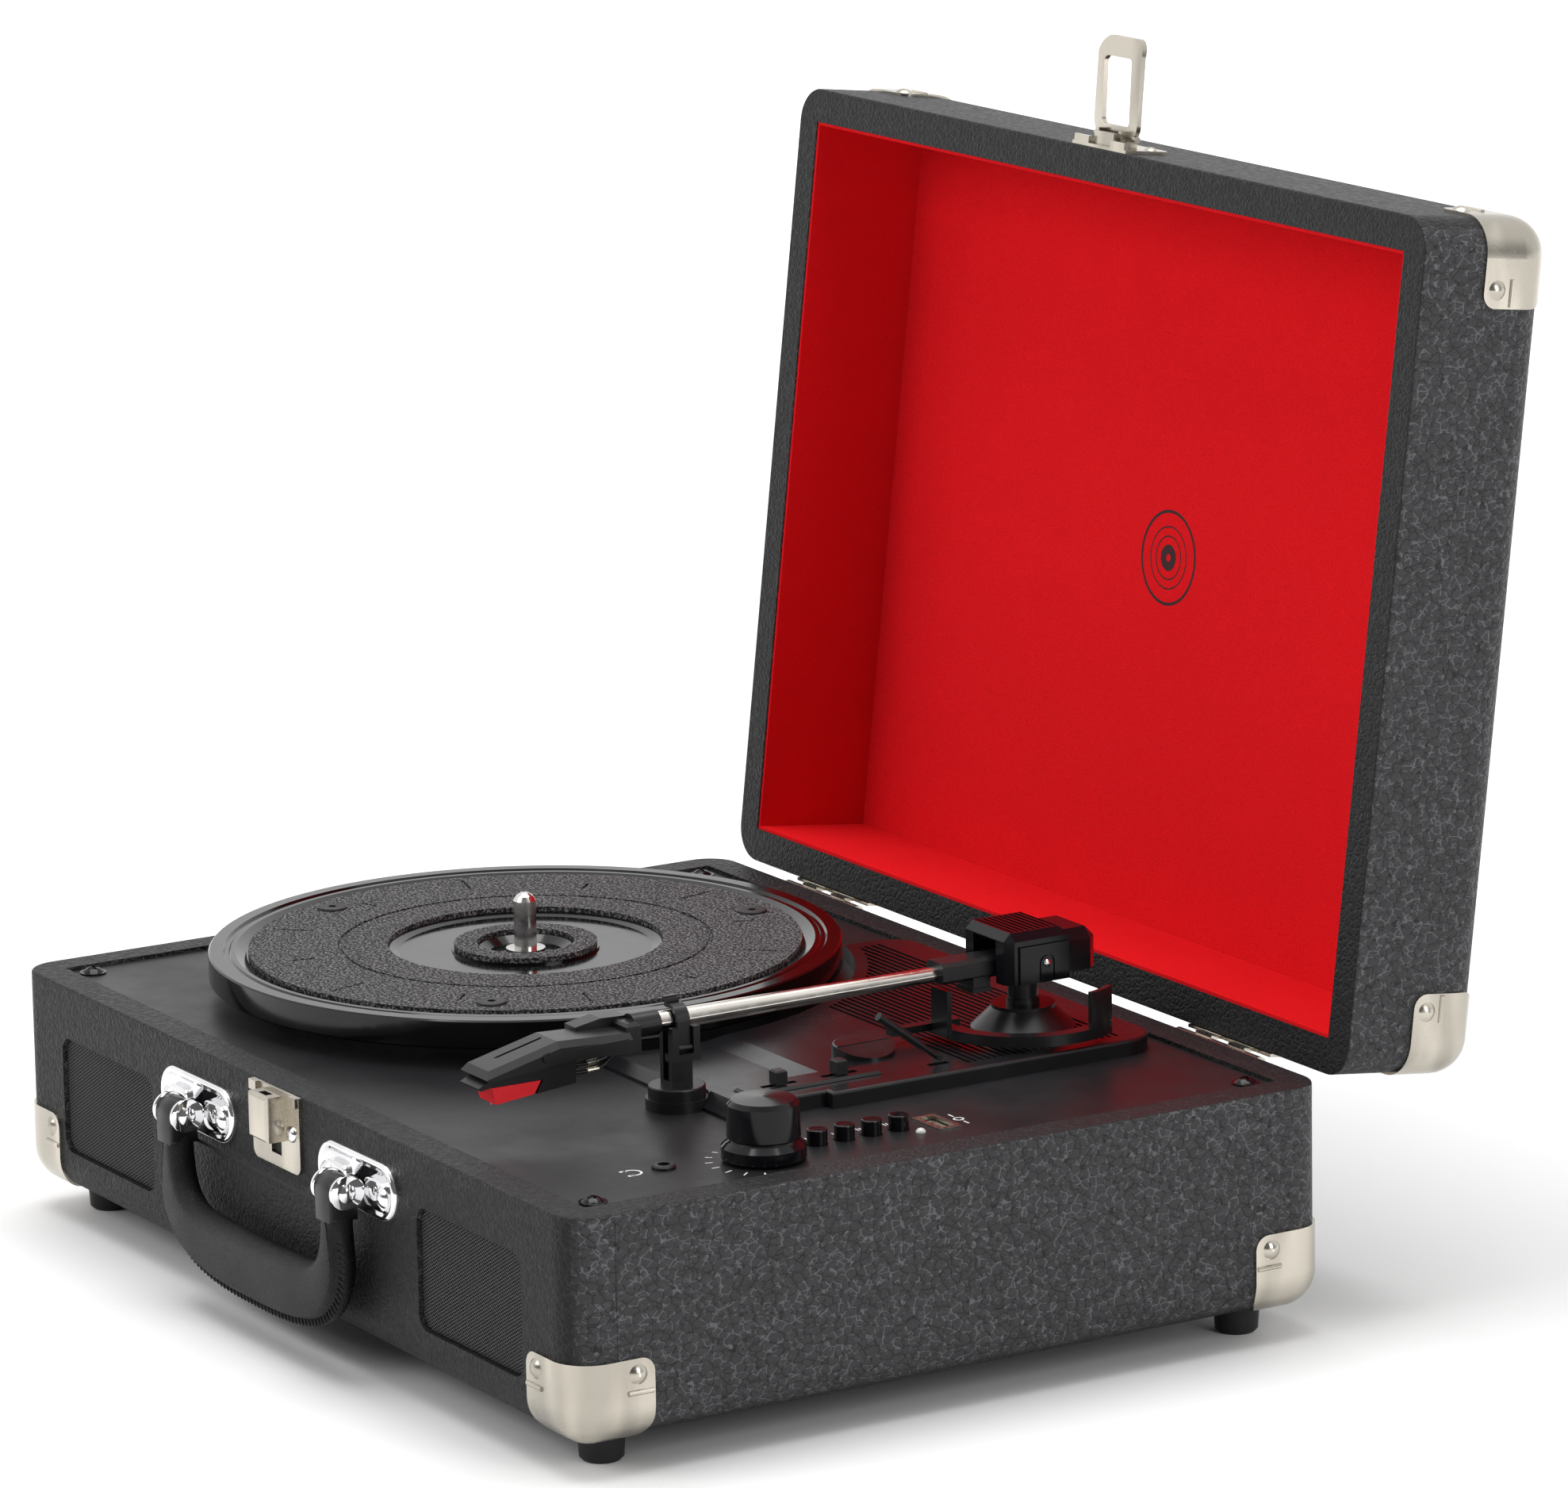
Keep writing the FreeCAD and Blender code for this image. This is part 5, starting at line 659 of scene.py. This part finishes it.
def make_marks():
    """Plain printed ticks, dots and rings beside the controls."""
    level = near("deck_plate", 1, 2) + 0.05
    parts = []

    x, y = middle("volume_knob", 0), middle("volume_knob", 1)
    reach = 16.2
    for i in range(9):      # a scale whose ticks grow
        turn = 190 + 20.0 * i
        parts.append(flat_bar(x + reach * math.cos(math.radians(turn)),
                              y + reach * math.sin(math.radians(turn)), 1.6 + 0.24 * i, 0.5, level, turn))

    x, y = middle("headphone_socket", 0) - 0.6, middle("headphone_socket", 1) - 10.2
    parts.append(ring_flat((x, y), 2.4, 3.1, level, -40, 260))
    parts += [flat_bar(x + 2.5 * side, y - 1.6, 1.3, 2.2, level) for side in (-1, 1)]

    for i in range(4):
        button = "button_%d" % (i + 1)
        x, y = middle(button, 0) - 6.2, middle(button, 1)
        parts += [flat_bar(x, y + 1.1 * j, 2.4, 0.45, level) for j in range(-(i // 2), i // 2 + 1)]

    x, y = middle("usb_socket", 0), middle("usb_socket", 1) + 7.6
    parts.append(ring_flat((x, y), 1.1, 1.7, level))
    parts += [flat_bar(x + 4.2 * side, y, 3.0, 0.6, level) for side in (-1, 1)]
    make_piece("deck_marks", *join_parts(parts), PRINT, "base")


def make_mesh():
    """The speakers' expanded metal: two families of slanting strands that cross in flat diamonds."""
    wide, tall, strand = 1.9, 1.07, 0.08        # a diamond's width and height, and a strand's radius
    window, corner, margin = 61.2, 5.0, 0.3
    steps = 240                                 # places tried along a strand, to find its ends
    front = near("speaker_grilles", 0, 1)
    low, high = near("speaker_grilles", 0, 2) + margin, near("speaker_grilles", 1, 2) - margin
    far = near("speaker_grilles", 1, 0) - margin
    run = (high - low) * wide / tall            # how far a strand goes sideways from bottom to top

    def inside(x, z, left, right):
        dx = max(left + corner - x, x - right + corner, 0)
        dz = max(low + corner - z, z - high + corner, 0)
        return left <= x <= right and math.hypot(dx, dz) <= corner

    parts = []
    for left, right in ((-far, window - far), (far - window, far)):
        for lean in (-1, 1):
            y = front - 0.10 - 0.05 * lean
            for i in range(int((right - left + 2 * run) / wide)):
                foot = left - run + i * wide
                ends = []
                for k in range(steps + 1):
                    z = low + (high - low) * k / steps
                    x = foot + (z - low if lean > 0 else high - z) * wide / tall
                    if inside(x, z, left, right):
                        ends.append((x, y, z))
                if len(ends) > 1:
                    parts.append(tube([ends[0], ends[-1]], strand, 4))
    make_piece("speaker_mesh", *join_parts(parts), MESH, "base", 80.0)


def make_emblem():
    """A plain record-shaped ring printed on the lining."""
    centre = (0, CASE_FRONT + CASE_DEPTH / 2)
    rings = ((14.2, 15.2), (9.6, 10.1), (6.6, 7.1), (1.2, 4.2))
    verts, faces = join_parts([ring_flat(centre, inner, outer, LINING_FACE_Z) for inner, outer in rings])
    make_piece("lining_emblem", [shut_to_open(v) for v in verts], faces, EMBLEM, "lid")


def make_leads():
    """The cartridge's pin sleeves and the four fine wires into the headshell."""
    back = near("cartridge", 1, 1)
    arm_x = joint_place("tonearm_lift")[0]
    sleeves, wires = [], []
    for x in (arm_x - 3.0, arm_x + 3.0):
        for j, z in enumerate((92.8, 95.2)):
            sleeves.append(tube([(x, back - 1.2, z), (x, back + 2.6, z + 0.25)], 0.85, 10))
            wires.append(tube([(x, back + 2.4, z + 0.25), (x - 0.5 + j, back + 5.0, z + 1.0),
                               (x, back + 7.5, 96.2 + 0.9 * j),
                               ((x + arm_x) / 2, back + 9.4, 97.6 + 0.5 * j)], 0.32, 6))
    make_piece("lead_sleeves", *join_parts(sleeves), NICKEL, "arm")
    make_piece("lead_wires", *join_parts(wires), SATIN, "arm")


def make_heads():
    """Bright rivet and screw heads that stand out from the parts they hold."""
    rivets = [button_head((x, CASE_FRONT - 1.0, near("latch_catch", 1, 2) - 12.0), 2.5, 1.3, (0, -1, 0))
              for x in (-10.4, 10.4)]
    make_piece("catch_rivets", *join_parts(rivets), CHROME, "base")
    pivot_y, pivot_z = joint_place("tonearm_lift")[1:]
    screw = button_head((near("tonearm_housing", 1, 0) - 0.1, pivot_y, pivot_z), 1.25, 0.5, (1, 0, 0))
    make_piece("pitch_screw", *screw, STEEL, "arm_carrier")


def make_ridges():
    """The pressed ridge beside each rivet of the corner guards."""
    skin, sunk, radius = 0.8, 0.15, 0.85    # guard's thickness, ridge's depth in it, ridge's radius
    reach, length, drop = 25.4, 8.2, 5.3    # from the case's corner, along the ridge, from the rivet
    right, front, back = near("base_case", 1, 0), CASE_FRONT, near("base_case", 1, 1)
    centre = (front + back) / 2
    face, wall = front - skin + sunk, right + skin - sunk
    bars = (((right - reach, face), (right - reach + length, face)),
            ((wall, front + reach), (wall, front + reach - length)))
    rivet = middle("base_corner_rivets", 2)
    for name, body, level, place in (("base_ridges", "base", rivet - drop, tuple),
                                     ("lid_ridges", "lid", LID_RIVET_Z + drop, shut_to_open)):
        parts = [tube([place((across * x, centre + along * (y - centre), level)) for x, y in bar],
                      radius, 10)
                 for across in (-1, 1) for along in (-1, 1) for bar in bars]
        make_piece(name, *join_parts(parts), NICKEL, body)


def make_seam():
    """Where the base's covering meets itself: a fine ridge beside the front right corner."""
    x, y = near("base_case", 1, 0) - 0.1, CASE_FRONT + 14.6
    low, high = near("base_corners", 1, 2) + 0.4, near("base_case", 1, 2) - 1.2
    make_piece("base_seam", *tube([(x, y, low), (x, y, high)], 0.32, 8), VINYL, "base")


make_grip()
make_grip_caps()
make_brackets()
make_loop()
make_marks()
make_mesh()
make_emblem()
make_leads()
make_heads()
make_ridges()
make_seam()


# ---------------------------------------------------------------- camera, light and floor

def link(thing):
    """Put an object in the scene."""
    bpy.context.scene.collection.objects.link(thing)
    return thing


def aim_camera():
    """The viewing angle: from the front right, a little above the deck."""
    azimuth, elevation, roll = math.radians(58.46), math.radians(11.82), math.radians(-0.9)
    place = Vector((2.0367, -1.2100, 0.6981))
    forward = Vector((-math.sin(azimuth) * math.cos(elevation), math.cos(azimuth) * math.cos(elevation),
                      -math.sin(elevation)))
    right = forward.cross(Vector((0, 0, 1))).normalized()
    up = right.cross(forward)
    across = right * math.cos(roll) + up * math.sin(roll)
    upward = up * math.cos(roll) - right * math.sin(roll)
    data = bpy.data.cameras.new("camera")
    data.lens, data.sensor_width = 181.7, 36.0
    data.shift_x, data.shift_y = -0.0473, -0.0866
    data.clip_start, data.clip_end = 0.1, 50.0
    camera = link(bpy.data.objects.new("camera", data))
    turn = Matrix((across, upward, -forward)).transposed().to_4x4()
    camera.matrix_world = Matrix.Translation(place) @ turn
    bpy.context.scene.camera = camera


def softbox(name, place, target, size, power):
    """A large soft area light."""
    data = bpy.data.lights.new(name, "AREA")
    data.shape, data.size, data.size_y, data.energy = "RECTANGLE", size[0], size[1], power
    lamp = link(bpy.data.objects.new(name, data))
    lamp.location = place
    lamp.rotation_mode = "QUATERNION"
    lamp.rotation_quaternion = (Vector(target) - Vector(place)).to_track_quat("-Z", "Y")


def make_world():
    """A studio that is white behind the object and overhead, and dim in front of it."""
    world = bpy.data.worlds.new("studio")
    world.use_nodes = True
    tree = world.node_tree
    backdrop = tree.nodes["Background"]
    backdrop.inputs["Color"].default_value = (1.0, 1.0, 1.0, 1.0)
    where = tree.nodes.new("ShaderNodeTexCoord").outputs["Generated"]
    towards = tree.nodes.new("ShaderNodeVectorMath")
    towards.operation = "DOT_PRODUCT"
    towards.inputs[1].default_value = (-0.80, 0.50, 0.34)
    tree.links.new(where, towards.inputs[0])
    spread = tree.nodes.new("ShaderNodeMapRange")
    spread.interpolation_type = "SMOOTHSTEP"
    for name, number in (("From Min", -0.45), ("From Max", 0.25), ("To Min", 0.14), ("To Max", 1.05)):
        spread.inputs[name].default_value = number
    tree.links.new(towards.outputs["Value"], spread.inputs["Value"])
    tree.links.new(spread.outputs["Result"], backdrop.inputs["Strength"])
    bpy.context.scene.world = world


def make_floor():
    """A pale paper floor with a painted glow: its emission brightens it to white well away from the object.
    """
    half = 12.0
    mesh = bpy.data.meshes.new("floor")
    mesh.from_pydata([(-half, -half, 0), (half, -half, 0), (half, half, 0), (-half, half, 0)], [],
                     [(0, 1, 2, 3)])
    floor = link(bpy.data.objects.new("floor", mesh))
    pale = Shader("floor_paper", Roughness=0.8, Specular_IOR_Level=0.1, Emission_Color=(1.0, 1.0, 1.0, 1.0))
    pale.colour(pale.blend(pale.noise(3.0), (0.74, 0.74, 0.74), (0.77, 0.77, 0.77)))
    away = pale.feed(pale.add("ShaderNodeVectorMath", operation="LENGTH"), i0=pale.where).outputs["Value"]
    # painted glow: the floor emits light that grows with distance from the object, though it is no lamp
    pale.join(pale.ramp(away, 0.7, 2.4, 0.0, 0.6), pale.surface.inputs["Emission Strength"])
    dress(pale.material, floor)


def make_stage():
    """Floor, backdrop and three soft studio lights."""
    make_floor()
    make_world()
    body = (0.0, 0.0, 0.12)
    softbox("key", (-0.2, -2.1, 1.5), (0.0, 0.1, 0.2), (1.6, 1.1), 20.0)
    softbox("side", (2.4, 0.5, 1.1), body, (0.9, 1.6), 24.0)
    softbox("top", (-0.2, 0.1, 2.6), body, (2.2, 1.6), 54.0)
    bpy.context.scene.view_settings.view_transform = "Standard"


aim_camera()
make_stage()
